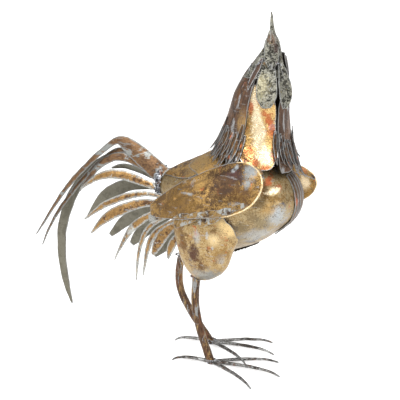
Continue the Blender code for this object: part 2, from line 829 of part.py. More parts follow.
def main():
    for old in list(bpy.data.objects):
        bpy.data.objects.remove(old)
    bird = Bird()

    gilt = finish("gilt_patina", (0.42, 0.28, 0.12), 0.4, 0.9)
    pale = finish("silver_wash", (0.55, 0.52, 0.46), 0.45, 0.9)
    olive = finish("bare_back", (0.28, 0.27, 0.21), 0.5, 0.8)
    rust = finish("rusty_brown", (0.22, 0.12, 0.06), 0.5, 0.7)
    lumps = finish("weld_metal", (0.3, 0.3, 0.3), 0.5, 0.9)

    mesh = torso_mesh()
    hull = bird.tree_of(mesh)
    bird.solid("torso", mesh, gilt)
    for word in ("right", "left"):
        thigh(bird, word, gilt)
        leg(bird, word, gilt)
        foot(bird, word, pale)
    for word in ("right", "left"):
        wing(bird, word, gilt, pale)

    bird.solid("skull", head_loft(SKULL, SKULL_SIDES, SKULL_RINGS), pale)
    bird.solid("upper_beak", head_loft(UPPER_BEAK, BEAK_SIDES, BEAK_RINGS), pale)
    face_leaves(bird, pale)
    throat_plates(bird, gilt)
    capes(bird, rust)
    ear_lobes(bird, rust)
    comb(bird, pale)
    breast_strips(bird, hull, rust)
    for side in (-1, 1):
        saddle_plates(bird, hull, side, gilt)

    knot(bird, lumps)
    for name, side, root_y, tip_y, widths, spine in FEATHERS:
        feather(bird, name, side, root_y, tip_y, widths, spine, gilt if side < 0 else olive)

    centre_on_base(bird)


main()
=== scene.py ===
"""The looks of a crowing rooster of welded sheet steel: beaten plates, weld beads and worn gold patina."""

import logging
import math
import random
from collections.abc import Callable, Sequence
from dataclasses import dataclass, field, replace
from enum import Enum

import bmesh
import bpy
import numpy as np
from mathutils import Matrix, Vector, noise
from mathutils.bvhtree import BVHTree
from mathutils.kdtree import KDTree


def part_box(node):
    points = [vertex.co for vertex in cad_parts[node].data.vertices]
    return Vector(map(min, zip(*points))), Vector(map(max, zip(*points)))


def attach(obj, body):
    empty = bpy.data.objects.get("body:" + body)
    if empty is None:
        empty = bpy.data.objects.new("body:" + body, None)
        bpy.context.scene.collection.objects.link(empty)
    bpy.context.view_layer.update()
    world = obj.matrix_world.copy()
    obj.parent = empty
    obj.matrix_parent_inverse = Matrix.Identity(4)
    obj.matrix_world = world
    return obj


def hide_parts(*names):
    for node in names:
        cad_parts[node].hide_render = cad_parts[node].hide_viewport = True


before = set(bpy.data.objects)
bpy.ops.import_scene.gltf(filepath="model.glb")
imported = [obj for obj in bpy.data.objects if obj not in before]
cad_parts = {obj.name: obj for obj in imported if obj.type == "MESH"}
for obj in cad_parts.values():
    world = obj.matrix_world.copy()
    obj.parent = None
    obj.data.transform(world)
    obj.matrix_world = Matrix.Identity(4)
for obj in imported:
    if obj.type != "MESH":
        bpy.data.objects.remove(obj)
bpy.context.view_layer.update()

MM = 0.001
BODY = "root"

Rgb = tuple[float, float, float]
Triple = tuple[float, float, float]
Pixel = tuple[float, float]

log = logging.getLogger("rooster")


class Slot(Enum):
    """The record's material slots."""

    GILT = "gilt_patina"
    SILVER = "silver_wash"
    RUSTY = "rusty_brown"
    BARE = "bare_back"
    WELD = "weld_metal"


class Side(Enum):
    """The two sides of the bird. The value is the sign of y."""

    RIGHT = -1
    LEFT = 1

    @property
    def word(self) -> str:
        """The side's name as the CAD nodes spell it."""
        return self.name.lower()


# Scene and node helpers


def stand(name: str, data: bpy.types.ID) -> bpy.types.Object:
    """Puts a new object in the scene.

    Args:
        name: the object's name.
        data: its mesh, light or camera.

    Returns:
        The object.
    """
    made = bpy.data.objects.new(name, data)
    bpy.context.scene.collection.objects.link(made)
    return made


def settle(work: bmesh.types.BMesh, name: str) -> bpy.types.Object:
    """Puts a shape in the scene as an object.

    Args:
        work: the shape, which is freed.
        name: the object's name.

    Returns:
        The object.
    """
    mesh = bpy.data.meshes.new(name)
    work.to_mesh(mesh)
    work.free()
    return stand(name, mesh)


def add_node(tree: bpy.types.NodeTree, kind: str, settings: dict, sockets: dict) -> bpy.types.Node:
    """Adds a node to a tree.

    Args:
        tree: the node tree.
        kind: the node's type.
        settings: properties of the node, set first.
        sockets: a value or an output socket for each input, by index or name.

    Returns:
        The node.
    """
    made = tree.nodes.new(kind)
    for key, value in settings.items():
        setattr(made, key, value)
    for key, value in sockets.items():
        if isinstance(value, bpy.types.NodeSocket):
            tree.links.new(value, made.inputs[key])
        else:
            made.inputs[key].default_value = value
    return made


# Shader wiring


class Wire:
    """One output socket of a shader tree. Arithmetic on it adds Math nodes."""

    def __init__(self, board: "Board", socket: bpy.types.NodeSocket) -> None:
        """Keeps the socket and the board that it belongs to."""
        self.board = board
        self.socket = socket

    def _math(self, operation: str, first: "Wire | float", second: "Wire | float") -> "Wire":
        """Adds one Math node.

        Args:
            operation: the Math node's operation.
            first: the first value.
            second: the second value.

        Returns:
            The node's result.
        """
        node = self.board.node("ShaderNodeMath", {"operation": operation}, {0: first, 1: second})
        return self.board.wire(node)

    def __add__(self, other: "Wire | float") -> "Wire":
        """self + other."""
        return self._math("ADD", self, other)

    def __radd__(self, other: float) -> "Wire":
        """other + self."""
        return self._math("ADD", other, self)

    def __sub__(self, other: "Wire | float") -> "Wire":
        """self - other."""
        return self._math("SUBTRACT", self, other)

    def __rsub__(self, other: float) -> "Wire":
        """other - self."""
        return self._math("SUBTRACT", other, self)

    def __mul__(self, other: "Wire | float") -> "Wire":
        """self * other."""
        return self._math("MULTIPLY", self, other)

    def __rmul__(self, other: float) -> "Wire":
        """other * self."""
        return self._math("MULTIPLY", other, self)

    def larger(self, other: "Wire | float") -> "Wire":
        """The larger of two values."""
        return self._math("MAXIMUM", self, other)

    def step(self, low: float, high: float) -> "Wire":
        """A soft step.

        Args:
            low: where the step starts at 0.
            high: where the step ends at 1.

        Returns:
            A value from 0 to 1.
        """
        node = self.board.node(
            "ShaderNodeMapRange",
            {"interpolation_type": "SMOOTHSTEP"},
            {"Value": self, "From Min": low, "From Max": high},
        )
        return self.board.wire(node)


class Board:
    """The shader tree of one material, and the few ways in which this script adds to it."""

    def __init__(self, name: str) -> None:
        """Starts a material.

        Args:
            name: the material's name.
        """
        self.material = bpy.data.materials.new(name)
        self.material.use_nodes = True
        self.tree = self.material.node_tree
        self.shader = self.tree.nodes["Principled BSDF"]
        self.place = self.wire(self.node("ShaderNodeTexCoord"), "Object")

    def node(self, kind: str, settings: dict | None = None, sockets: dict | None = None) -> bpy.types.Node:
        """Adds a node.

        Args:
            kind: the node's type.
            settings: properties of the node, set first.
            sockets: a value or a Wire for each input, by index or name.

        Returns:
            The node.
        """
        given = {k: v.socket if isinstance(v, Wire) else v for k, v in (sockets or {}).items()}
        return add_node(self.tree, kind, settings or {}, given)

    def wire(self, node: bpy.types.Node, key: int | str = 0) -> Wire:
        """The Wire of one of a node's outputs."""
        return Wire(self, node.outputs[key])

    def vector(self, operation: str, first: "Wire | Triple", second: "Wire | Triple") -> Wire:
        """Adds one Vector Math node.

        Args:
            operation: the node's operation.
            first: the first vector.
            second: the second vector.

        Returns:
            The resulting vector, or the resulting number of LENGTH.
        """
        sockets = {0: first, 1: second}
        made = self.node("ShaderNodeVectorMath", {"operation": operation}, sockets)
        return self.wire(made, 1 if operation == "LENGTH" else 0)

    def mix(self, share: "Wire | float", under: "Wire | Rgb", over: "Wire | Rgb") -> Wire:
        """Lays one colour over another.

        Args:
            share: how much of the upper colour shows, from 0 to 1.
            under: the lower colour.
            over: the upper colour.

        Returns:
            The mixed colour.
        """
        factor, lower, upper, result = 0, 6, 7, 2
        below, above = [c if isinstance(c, Wire) else (*c, 1) for c in (under, over)]
        sockets = {factor: share, lower: below, upper: above}
        return self.wire(self.node("ShaderNodeMix", {"data_type": "RGBA"}, sockets), result)

    def cloud(
        self,
        grain: float,
        seed: float,
        detail: float = 4,
        rough: float = 0.55,
        warp: float = 0,
        stretch: Triple = (1, 1, 1),
    ) -> Wire:
        """A cloudy noise.

        Args:
            grain: the size of its features in metres.
            seed: a number that sets it apart from other clouds.
            detail: how many finer layers it has.
            rough: how strong the finer layers are.
            warp: how much it is distorted.
            stretch: how dense it is along each axis.

        Returns:
            A value about 0.5.
        """
        moved = self.vector("ADD", self.place, (seed * 1.37, seed * 0.71, seed * 2.13))
        spread = self.vector("MULTIPLY", moved, stretch)
        sockets = {"Vector": spread, "Scale": 1 / grain, "Detail": detail}
        sockets |= {"Roughness": rough, "Distortion": warp}
        return self.wire(self.node("ShaderNodeTexNoise", {}, sockets))

    def attribute(self, name: str) -> Wire:
        """A number that the mesh carries at each point."""
        return self.wire(self.node("ShaderNodeAttribute", {"attribute_name": name}), "Fac")

    def finish(
        self, colour: Wire, roughness: Wire, metallic: "Wire | float", height: Wire, depth: float
    ) -> None:
        """Joins the finished values to the shader.

        Args:
            colour: the base colour.
            roughness: the roughness.
            metallic: how metallic it is.
            height: the fine relief, from 0 to 1.
            depth: the depth of the relief in metres.
        """
        bump = self.node("ShaderNodeBump", {}, {"Strength": 1.0, "Distance": depth, "Height": height})
        joins = {"Base Color": colour, "Roughness": roughness, "Metallic": metallic}
        joins["Normal"] = self.wire(bump)
        for key, value in joins.items():
            if isinstance(value, Wire):
                self.tree.links.new(value.socket, self.shader.inputs[key])
            else:
                self.shader.inputs[key].default_value = value


# The camera, and what it sees at a pixel


@dataclass(frozen=True)
class Eye:
    """The camera of the photograph."""

    aim: Triple = (0.0775, -0.0007, 0.2764)
    turn: float = math.radians(28)
    distance: float = 1.75
    rise: float = 0.425
    lens: float = 93.6
    sensor: float = 36.0
    picture: float = 400.0

    @property
    def place(self) -> Vector:
        """Where the camera stands."""
        back = Vector((math.sin(self.turn), -math.cos(self.turn), 0)) * self.distance
        return Vector(self.aim) + back + Vector((0, 0, self.rise))

    def camera(self) -> None:
        """Makes the scene's camera."""
        made = stand("camera", bpy.data.cameras.new("camera"))
        made.data.lens = self.lens
        made.data.sensor_width = self.sensor
        made.location = self.place
        made.rotation_euler = (Vector(self.aim) - self.place).to_track_quat("-Z", "Y").to_euler()
        bpy.context.scene.camera = made

    def ray(self, pixel: Pixel) -> Vector:
        """The way from the camera through a pixel.

        Args:
            pixel: column and row in the photograph.

        Returns:
            A unit vector.
        """
        look = (Vector(self.aim) - self.place).to_track_quat("-Z", "Y")
        scale = self.sensor / self.lens / self.picture
        half = self.picture / 2
        way = Vector(((pixel[0] - half) * scale, -(pixel[1] - half) * scale, -1))
        return (look @ way).normalized()


class Skin:
    """The outer skin of CAD pieces, found with rays."""

    def __init__(self, nodes: Sequence[str]) -> None:
        """Builds the search tree.

        Args:
            nodes: the CAD nodes whose skin it is.
        """
        points: list[Vector] = []
        faces: list[list[int]] = []
        for node in nodes:
            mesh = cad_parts[node].data
            start = len(points)
            points.extend(v.co.copy() for v in mesh.vertices)
            faces.extend([start + k for k in p.vertices] for p in mesh.polygons)
        self.tree = BVHTree.FromPolygons(points, faces)

    def meet(self, start: Vector, way: Vector) -> tuple[Vector, Vector] | None:
        """Where a ray first meets the skin.

        Args:
            start: where the ray starts.
            way: the way it runs.

        Returns:
            The place and the skin's outward normal there, or None.
        """
        place, normal, _, _ = self.tree.ray_cast(start, way)
        if place is None:
            return None
        return place, normal if normal.dot(way) < 0 else -normal


# Finishes

BIRD = Skin(sorted(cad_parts))

GOLD_BRIGHT = (0.66, 0.44, 0.18)
GOLD = (0.42, 0.255, 0.085)
OCHRE = (0.235, 0.135, 0.040)
BRONZE = (0.135, 0.070, 0.024)
UMBER = (0.050, 0.026, 0.014)
PLUM = (0.058, 0.028, 0.026)
COPPER = (0.42, 0.115, 0.04)
# Pale cream used as painted highlight, where light glints on the metal.
CREAM_HIGHLIGHT = (0.92, 0.77, 0.52)
SILVER = (0.38, 0.385, 0.38)
SILVER_BLUE = (0.40, 0.43, 0.44)
STEEL = (0.15, 0.147, 0.14)
OLIVE = (0.165, 0.155, 0.115)
OLIVE_DARK = (0.075, 0.070, 0.052)
INK = (0.012, 0.010, 0.009)


@dataclass(frozen=True)
class Stain:
    """A patch of another tone, at a pixel of the photograph: either a patch of patina colour, or a painted
    highlight or painted shade.
    """

    pixel: Pixel
    reach: float
    tint: Rgb
    cover: float = 1.0
    stretch: Triple = (1, 1, 1)


@dataclass(frozen=True)
class Patina:
    """Gold leaf on brown patina, worn to silver at the cut edges, with copper patches and plain backs; a
    dark back on the inner side of the neck or head is painted shade.
    """

    ground_dark: Rgb = UMBER
    ground_light: Rgb = BRONZE
    leaf_dark: Rgb = OCHRE
    leaf_light: Rgb = GOLD
    leaf_cover: float = 0.6
    copper: Rgb = COPPER
    copper_cover: float = 0.1
    silver: Rgb = SILVER
    silver_cover: float = 0.06
    edge: float = 1.7
    scratch: float = 0.5
    speck: float = 0.7
    pit: float = 2.0 * MM
    pit_line: float = 0.53
    back: Rgb = OLIVE_DARK
    grain: float = 48 * MM
    relief: float = 0.9 * MM
    metallic: float = 0.85
    rough: float = 0.32
    stretch: Triple = (1, 1, 1)

    def make(self, name: str, eye: Eye, stains_and_painted_light: Sequence[Stain] = ()) -> bpy.types.Material:
        """Builds the material.

        Args:
            name: the material's name.
            eye: the camera, for the patches' pixels.
            stains_and_painted_light: patches of other tones, from the lowest to the uppermost; some are
                patina colour, some are painted highlights and painted shade.

        Returns:
            The material.
        """
        board = Board(name)

        def covered(cloud: Wire, cover: float, below: float, above: float) -> Wire:
            """Where a cloud is dense enough to cover this share of the metal."""
            line = 0.5 + (0.5 - cover) * 0.3
            return cloud.step(line - below, line + above)

        wide = board.cloud(self.grain, 1, 3, 0.5, 0.5, self.stretch)
        middle = board.cloud(self.grain / 4, 2, 4, 0.6, 0.3, self.stretch)
        fine = board.cloud(self.grain / 18, 3, 3, 0.65, 0, self.stretch)
        blotch = wide * 0.45 + middle * 0.35 + fine * 0.2
        ground = board.mix(middle.step(0.38, 0.62), self.ground_dark, self.ground_light)
        leaf = board.mix((fine * 0.6 + middle * 0.4).step(0.40, 0.60), self.leaf_dark, self.leaf_light)
        gilded = covered(blotch, self.leaf_cover, 0.03, 0.03)
        colour = board.mix(gilded, ground, leaf)
        second = board.cloud(self.grain * 0.6, 4, 5, 0.62, 0.4, self.stretch)
        shown = min(0.9, self.copper_cover * 30)
        colour = board.mix(covered(second, self.copper_cover, 0.03, 0.04) * shown, colour, self.copper)
        third = board.cloud(self.grain * 0.7, 5, 6, 0.68, 0.6, self.stretch)
        colour = board.mix(covered(third, self.silver_cover, 0.02, 0.04) * 0.9, colour, self.silver)
        ragged = (middle - 0.5) * 1.6 + (fine - 0.5) * 1.6
        # Lays the patches over the colour; some are patina colour, some are painted highlights and painted
        # shade.
        for mark in stains_and_painted_light:
            met = BIRD.meet(eye.place, eye.ray(mark.pixel))
            if met is None:
                log.warning("no metal at pixel %s", mark.pixel)
                continue
            off = board.vector("SUBTRACT", board.place, tuple(met[0]))
            off = board.vector("MULTIPLY", off, mark.stretch)
            away = board.vector("LENGTH", off, (0, 0, 0)) * (1 / mark.reach) + ragged
            colour = board.mix((1 - away.step(0.35, 1.15)) * mark.cover, colour, mark.tint)
        thick = board.cloud(11 * MM, 8, 3, 0.6).step(0.42, 0.62)
        pits = board.cloud(self.pit, 6, 2, 0.6).step(self.pit_line, self.pit_line + 0.09)
        pits = pits * (0.25 + 0.75 * thick) * self.speck
        colour = board.mix(pits, colour, self.ground_dark)
        rim = board.attribute("rim")
        worn = 1 - (rim + ragged * (self.edge * 0.9)).step(self.edge * 0.4, self.edge * 1.1)
        hair = board.cloud(9 * MM, 7, 3, 0.6, 0.2, (0.35, 1, 2.2)).step(0.62, 0.67) * self.scratch
        bare = worn.larger(hair)
        tone = board.mix(fine.step(0.36, 0.62), STEEL, self.silver)
        colour = board.mix(bare * 0.92, colour, tone)
        # The back's colour: bare metal on the tail, painted shade on the inner sides of the neck and head.
        inner = board.attribute("inner")
        behind = board.mix(middle.step(0.4, 0.6), self.back, tuple(c * 0.7 for c in self.back))
        colour = board.mix(inner * (1 - worn * 0.7), colour, behind)
        # Darkens enclosed places: partly patina in the hollows, partly painted shade.
        nook = (board.attribute("nook") + (fine - 0.5) * 0.3).step(0.18, 0.85)
        colour = board.mix(nook * 0.85, colour, tuple(c * 0.45 for c in self.ground_dark))
        roughness = self.rough + (1 - gilded) * 0.12 + (fine - 0.5) * 0.35 + inner * 0.15
        metallic = self.metallic - (1 - gilded) * 0.2 - inner * 0.2
        height = fine * 0.35 + middle * 0.8 + gilded * 0.1 - pits * 0.35 - hair * 0.15
        board.finish(colour, roughness, metallic, height, self.relief)
        return board.material


@dataclass(frozen=True)
class WeldMetal:
    """Lumpy weld: grey, with rust and dark hollows."""

    pale: Rgb = (0.42, 0.44, 0.47)
    dark: Rgb = (0.05, 0.045, 0.05)
    rust: Rgb = (0.16, 0.07, 0.035)
    grain: float = 7 * MM

    def make(self, name: str) -> bpy.types.Material:
        """Builds the material.

        Args:
            name: the material's name.

        Returns:
            The material.
        """
        board = Board(name)
        middle = board.cloud(self.grain, 11, 4, 0.6, 0.6)
        fine = board.cloud(self.grain / 4, 12, 3, 0.6)
        colour = board.mix(middle.step(0.42, 0.58), self.dark, self.pale)
        colour = board.mix(board.cloud(self.grain * 1.7, 13).step(0.54, 0.62) * 0.7, colour, self.rust)
        roughness = 0.36 + (fine - 0.5) * 0.5
        board.finish(colour, roughness, 0.85, middle + fine * 0.4, 0.8 * MM)
        return board.material


@dataclass(frozen=True)
class StudioFloor:
    """The pale matt floor."""

    tone: Rgb = (0.86, 0.86, 0.86)
    glow: float = 0.34

    def make(self) -> bpy.types.Material:
        """Builds the material.

        Returns:
            The material.
        """
        board = Board("studio_floor")
        mottle = board.cloud(0.6, 21, 2)
        colour = board.mix(mottle.step(0.3, 0.7), self.tone, tuple(c * 1.02 for c in self.tone))
        board.finish(colour, 0.7 + mottle * 0.05, 0.0, mottle, 0.1 * MM)
        board.shader.inputs["Emission Color"].default_value = (1, 1, 1, 1)
        board.shader.inputs["Emission Strength"].default_value = self.glow
        return board.material


# Metalwork


@dataclass(frozen=True)
class Furrow:
    """A crease pressed into a sheet along a line."""

    start: Vector
    end: Vector
    way: Vector
    depth: float
    width: float

    def press(self, points: np.ndarray) -> np.ndarray:
        """How far each point is pressed.

        Args:
            points: places, one a row.

        Returns:
            One shift for each place.
        """
        run = np.array(self.end - self.start)
        share = np.clip(((points - np.array(self.start)) @ run) / (run @ run), 0, 1)
        nearest = np.array(self.start) + share[:, None] * run
        away = np.linalg.norm(points - nearest, axis=1) / self.width
        push = np.clip(1 - away**2, 0, 1) ** 2 * self.depth
        return push[:, None] * np.array(self.way)


@dataclass(frozen=True)
class Beating:
    """How a piece is beaten: how fine its surface is, which edges stay crisp, and how deep its dents are."""

    levels: int = 3
    hard: float = math.radians(48)
    dent: float = 0.55 * MM
    dent_size: float = 24 * MM
    swell: float = 0.0
    seed: float = 0.0


def as_numbers(vectors: bpy.types.bpy_prop_collection, key: str) -> np.ndarray:
    """Reads one vector for each item of a Blender collection.

    Args:
        vectors: the collection.
        key: the vector's property.

    Returns:
        One row for each item.
    """
    flat = np.zeros(len(vectors) * 3, np.float32)
    vectors.foreach_get(key, flat)
    return flat.reshape(-1, 3).astype(float)


def evaluated(carrier: bpy.types.Object) -> bpy.types.Mesh:
    """The carrier's mesh with its modifiers done. The carrier is deleted.

    Args:
        carrier: an object made for this one use.

    Returns:
        A plain mesh.
    """
    bpy.context.view_layer.update()
    graph = bpy.context.evaluated_depsgraph_get()
    mesh = bpy.data.meshes.new_from_object(carrier.evaluated_get(graph), depsgraph=graph)
    carrier.modifiers.clear()
    bpy.data.objects.remove(carrier)
    return mesh


def cad_copy(node: str) -> bmesh.types.BMesh:
    """A merged copy of a CAD node, with flat faces joined back into quads.

    Args:
        node: the CAD node's name.

    Returns:
        The copy.
    """
    work = bmesh.new()
    work.from_mesh(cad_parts[node].data)
    bmesh.ops.remove_doubles(work, verts=work.verts, dist=0.002 * MM)
    bmesh.ops.dissolve_limit(work, angle_limit=math.radians(1), verts=work.verts, edges=work.edges)
    bmesh.ops.triangulate(work, faces=[f for f in work.faces if len(f.verts) > 4])
    flat, square = math.radians(35), math.radians(60)
    bmesh.ops.join_triangles(
        work, faces=work.faces, angle_face_threshold=flat, angle_shape_threshold=square
    )
    return work


def slab(rows: Sequence[Sequence[Vector]], thickness: float) -> bmesh.types.BMesh:
    """A closed strip of sheet.

    Args:
        rows: the middle surface as rows of points.
        thickness: the sheet's thickness.

    Returns:
        The strip.
    """
    work = bmesh.new()
    last_row, last_column = len(rows) - 1, len(rows[0]) - 1
    skins: list[list[list[bmesh.types.BMVert]]] = [[], []]
    for r, row in enumerate(rows):
        for skin, sign in zip(skins, (0.5, -0.5)):
            line = []
            for c, place in enumerate(row):
                along = rows[min(r + 1, last_row)][c] - rows[max(r - 1, 0)][c]
                across = row[min(c + 1, last_column)] - row[max(c - 1, 0)]
                line.append(work.verts.new(place + across.cross(along).normalized() * (thickness * sign)))
            skin.append(line)
    for skin in skins:
        for near, far in zip(skin, skin[1:]):
            for c in range(last_column):
                work.faces.new((near[c], near[c + 1], far[c + 1], far[c]))
    border = [(0, c) for c in range(last_column)] + [(r, last_column) for r in range(last_row)]
    border += [(last_row, c) for c in range(last_column, 0, -1)] + [(r, 0) for r in range(last_row, 0, -1)]
    for (r, c), (q, d) in zip(border, border[1:] + border[:1]):
        work.faces.new((skins[0][r][c], skins[0][q][d], skins[1][q][d], skins[1][r][c]))
    bmesh.ops.recalc_face_normals(work, faces=work.faces)
    return work


def tube(path: Sequence[Vector], radius: Callable[[float], float], sides: int = 8) -> bmesh.types.BMesh:
    """A closed round rod along a path.

    Args:
        path: the points of its middle line.
        radius: its radius at each share of its length.
        sides: how many sides it has.

    Returns:
        The rod.
    """
    work = bmesh.new()
    rings = []
    last = len(path) - 1
    wide = Vector((0.3, 0.2, 1))
    for k, place in enumerate(path):
        along = (path[min(k + 1, last)] - path[max(k - 1, 0)]).normalized()
        wide = (wide - along * wide.dot(along)).normalized()
        other = along.cross(wide)
        reach = radius(k / last)
        turns = [2 * math.pi * s / sides for s in range(sides)]
        ways = [wide * math.cos(t) + other * math.sin(t) for t in turns]
        rings.append([work.verts.new(place + way * reach) for way in ways])
    for near, far in zip(rings, rings[1:]):
        for s in range(sides):
            n = (s + 1) % sides
            work.faces.new((near[s], near[n], far[n], far[s]))
    for ring in (rings[0], rings[-1]):
        work.faces.new(ring)
    bmesh.ops.recalc_face_normals(work, faces=work.faces)
    return work


def merged(parts: Sequence[bmesh.types.BMesh]) -> bmesh.types.BMesh:
    """Several bodies in one mesh. The parts are freed."""
    whole = bmesh.new()
    for part in parts:
        carrier = bpy.data.meshes.new("part")
        part.to_mesh(carrier)
        part.free()
        whole.from_mesh(carrier)
        bpy.data.meshes.remove(carrier)
    return whole


def beat(
    name: str,
    work: bmesh.types.BMesh,
    beating: Beating,
    outward: Callable[[np.ndarray], np.ndarray] | None = None,
    furrows: Sequence[Furrow] = (),
) -> bpy.types.Object:
    """Turns a plain shape into beaten metal: smooth between its crisp edges, dented, with its rims known.

    Args:
        name: the finished piece's name.
        work: the plain shape, which is freed.
        beating: how it is beaten.
        outward: the way out of the bird at each place, for a piece whose back has a colour of its own.
        furrows: creases pressed into it.

    Returns:
        The finished piece, with no material yet.
    """
    crease = work.edges.layers.float.new("crease_edge")
    corner = work.verts.layers.float.new("crease_vert")
    hard = set()
    for edge in work.edges:
        if len(edge.link_faces) == 2 and edge.calc_face_angle() > beating.hard:
            edge[crease] = 1.0
            edge.smooth = False
            hard.add(edge)
    for vertex in work.verts:
        crisp = [e for e in vertex.link_edges if e in hard]
        if len(crisp) == 2:
            ways = [(e.other_vert(vertex).co - vertex.co).normalized() for e in crisp]
            if ways[0].dot(ways[1]) > -0.3:
                vertex[corner] = 1.0
    carrier = settle(work, name + "_plain")
    smooth = carrier.modifiers.new("Smooth", "SUBSURF")
    smooth.levels = smooth.render_levels = beating.levels
    mesh = evaluated(carrier)
    mesh.name = name
    mesh.shade_smooth()
    points = as_numbers(mesh.vertices, "co")
    normals = as_numbers(mesh.vertex_normals, "vector")
    measure_rim(mesh, points)
    points = points + normals * beating.swell
    points = points + dents(points, beating)
    for furrow in furrows:
        points = points + furrow.press(points)
    mesh.vertices.foreach_set("co", points.astype(np.float32).ravel())
    mesh.update()
    measure_nooks(mesh, points, normals)
    inner = mesh.attributes.new("inner", "FLOAT", "POINT")
    if outward is not None:
        facing = np.einsum("ij,ij->i", normals, outward(points))
        inner.data.foreach_set("value", np.clip(-facing * 4, 0, 1).astype(np.float32))
    return stand(name, mesh)


def measure_rim(mesh: bpy.types.Mesh, points: np.ndarray) -> None:
    """Stores at each point how many millimetres it is from the nearest crisp edge.

    Args:
        mesh: the mesh, which gets the attribute rim.
        points: its vertices.
    """
    far_away = 60.0
    away = np.full(len(points), far_away, np.float32)
    if "sharp_edge" in mesh.attributes:
        crisp = np.zeros(len(mesh.edges), bool)
        mesh.attributes["sharp_edge"].data.foreach_get("value", crisp)
        ends = np.zeros(len(mesh.edges) * 2, np.int32)
        mesh.edges.foreach_get("vertices", ends)
        rims = np.unique(ends.reshape(-1, 2)[crisp])
        if len(rims):
            tree = KDTree(len(rims))
            for k, index in enumerate(rims):
                tree.insert(points[index], k)
            tree.balance()
            away = np.array([min(tree.find(p)[2] / MM, far_away) for p in points], np.float32)
    mesh.attributes.new("rim", "FLOAT", "POINT").data.foreach_set("value", away)


def measure_nooks(mesh: bpy.types.Mesh, points: np.ndarray, normals: np.ndarray) -> None:
    """Stores at each point how much metal stands close in front of it, where patina gathers and where shade
    is painted.

    Args:
        mesh: the mesh, which gets the attribute nook.
        points: its vertices.
        normals: their normals.
    """
    reach, lift, lean = 34 * MM, 1.4 * MM, 1.1
    closed = np.zeros(len(points), np.float32)
    cast = BIRD.tree.ray_cast
    for k, (place, normal) in enumerate(zip(points, normals)):
        up = Vector(normal)
        start = Vector(place) + up * lift
        side = up.orthogonal().normalized()
        other = up.cross(side)
        total = 0.0
        for way in (up, up + side * lean, up - side * lean, up + other * lean, up - other * lean):
            _, facing, _, distance = cast(start, way, reach)
            if distance is not None and facing.dot(way) < 0:
                total += 1 - distance / reach
        closed[k] = total / 5
    mesh.attributes.new("nook", "FLOAT", "POINT").data.foreach_set("value", closed)


def dents(points: np.ndarray, beating: Beating) -> np.ndarray:
    """The hammer's dents: a smooth shift of both faces of a sheet together.

    Args:
        points: places, one a row.
        beating: how deep and wide the dents are.

    Returns:
        One shift for each place.
    """
    wide = 1 / beating.dent_size
    narrow = 3.1 / beating.dent_size
    offset = Vector((beating.seed, beating.seed * 0.7, 1.3))
    places = [Vector(p) for p in points]
    deep = [noise.noise_vector(p * wide + offset) for p in places]
    small = [noise.noise_vector(p * narrow) * 0.3 for p in places]
    return np.array([a + b for a, b in zip(deep, small)]) * beating.dent


def hand_over(piece: bpy.types.Object, material: bpy.types.Material, slot: Slot, *nodes: str) -> None:
    """Gives a piece its material and tells the frame what it rides on and stands for.

    Args:
        piece: the finished piece.
        material: its material.
        slot: the record's slot that the finish belongs to; not used.
        nodes: the CAD nodes that it stands for.
    """
    piece.data.materials.clear()
    piece.data.materials.append(material)
    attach(piece, BODY)
    if nodes:
        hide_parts(*nodes)
    log.info("%s: %d faces", piece.name, len(piece.data.polygons))


def dress(
    node: str,
    ending: str,
    finish: bpy.types.Material,
    slot: Slot,
    beating: Beating,
    outward: Callable[[np.ndarray], np.ndarray] | None = None,
    furrows: Sequence[Furrow] = (),
    work: bmesh.types.BMesh | None = None,
) -> bpy.types.Object:
    """Beats a copy of a CAD node into the finished piece that stands for it.

    Args:
        node: the CAD node's name.
        ending: what the piece's name adds to it.
        finish: the piece's material.
        slot: the record's slot that the finish belongs to.
        beating: how it is beaten.
        outward: the way out of the bird at each place, for a piece whose back has a colour of its own.
        furrows: creases pressed into it.
        work: the shape to beat, where it isn't a plain copy of the node.

    Returns:
        The finished piece.
    """
    shape = cad_copy(node) if work is None else work
    piece = beat(f"{node}_{ending}", shape, beating, outward, furrows)
    hand_over(piece, finish, slot, node)
    return piece


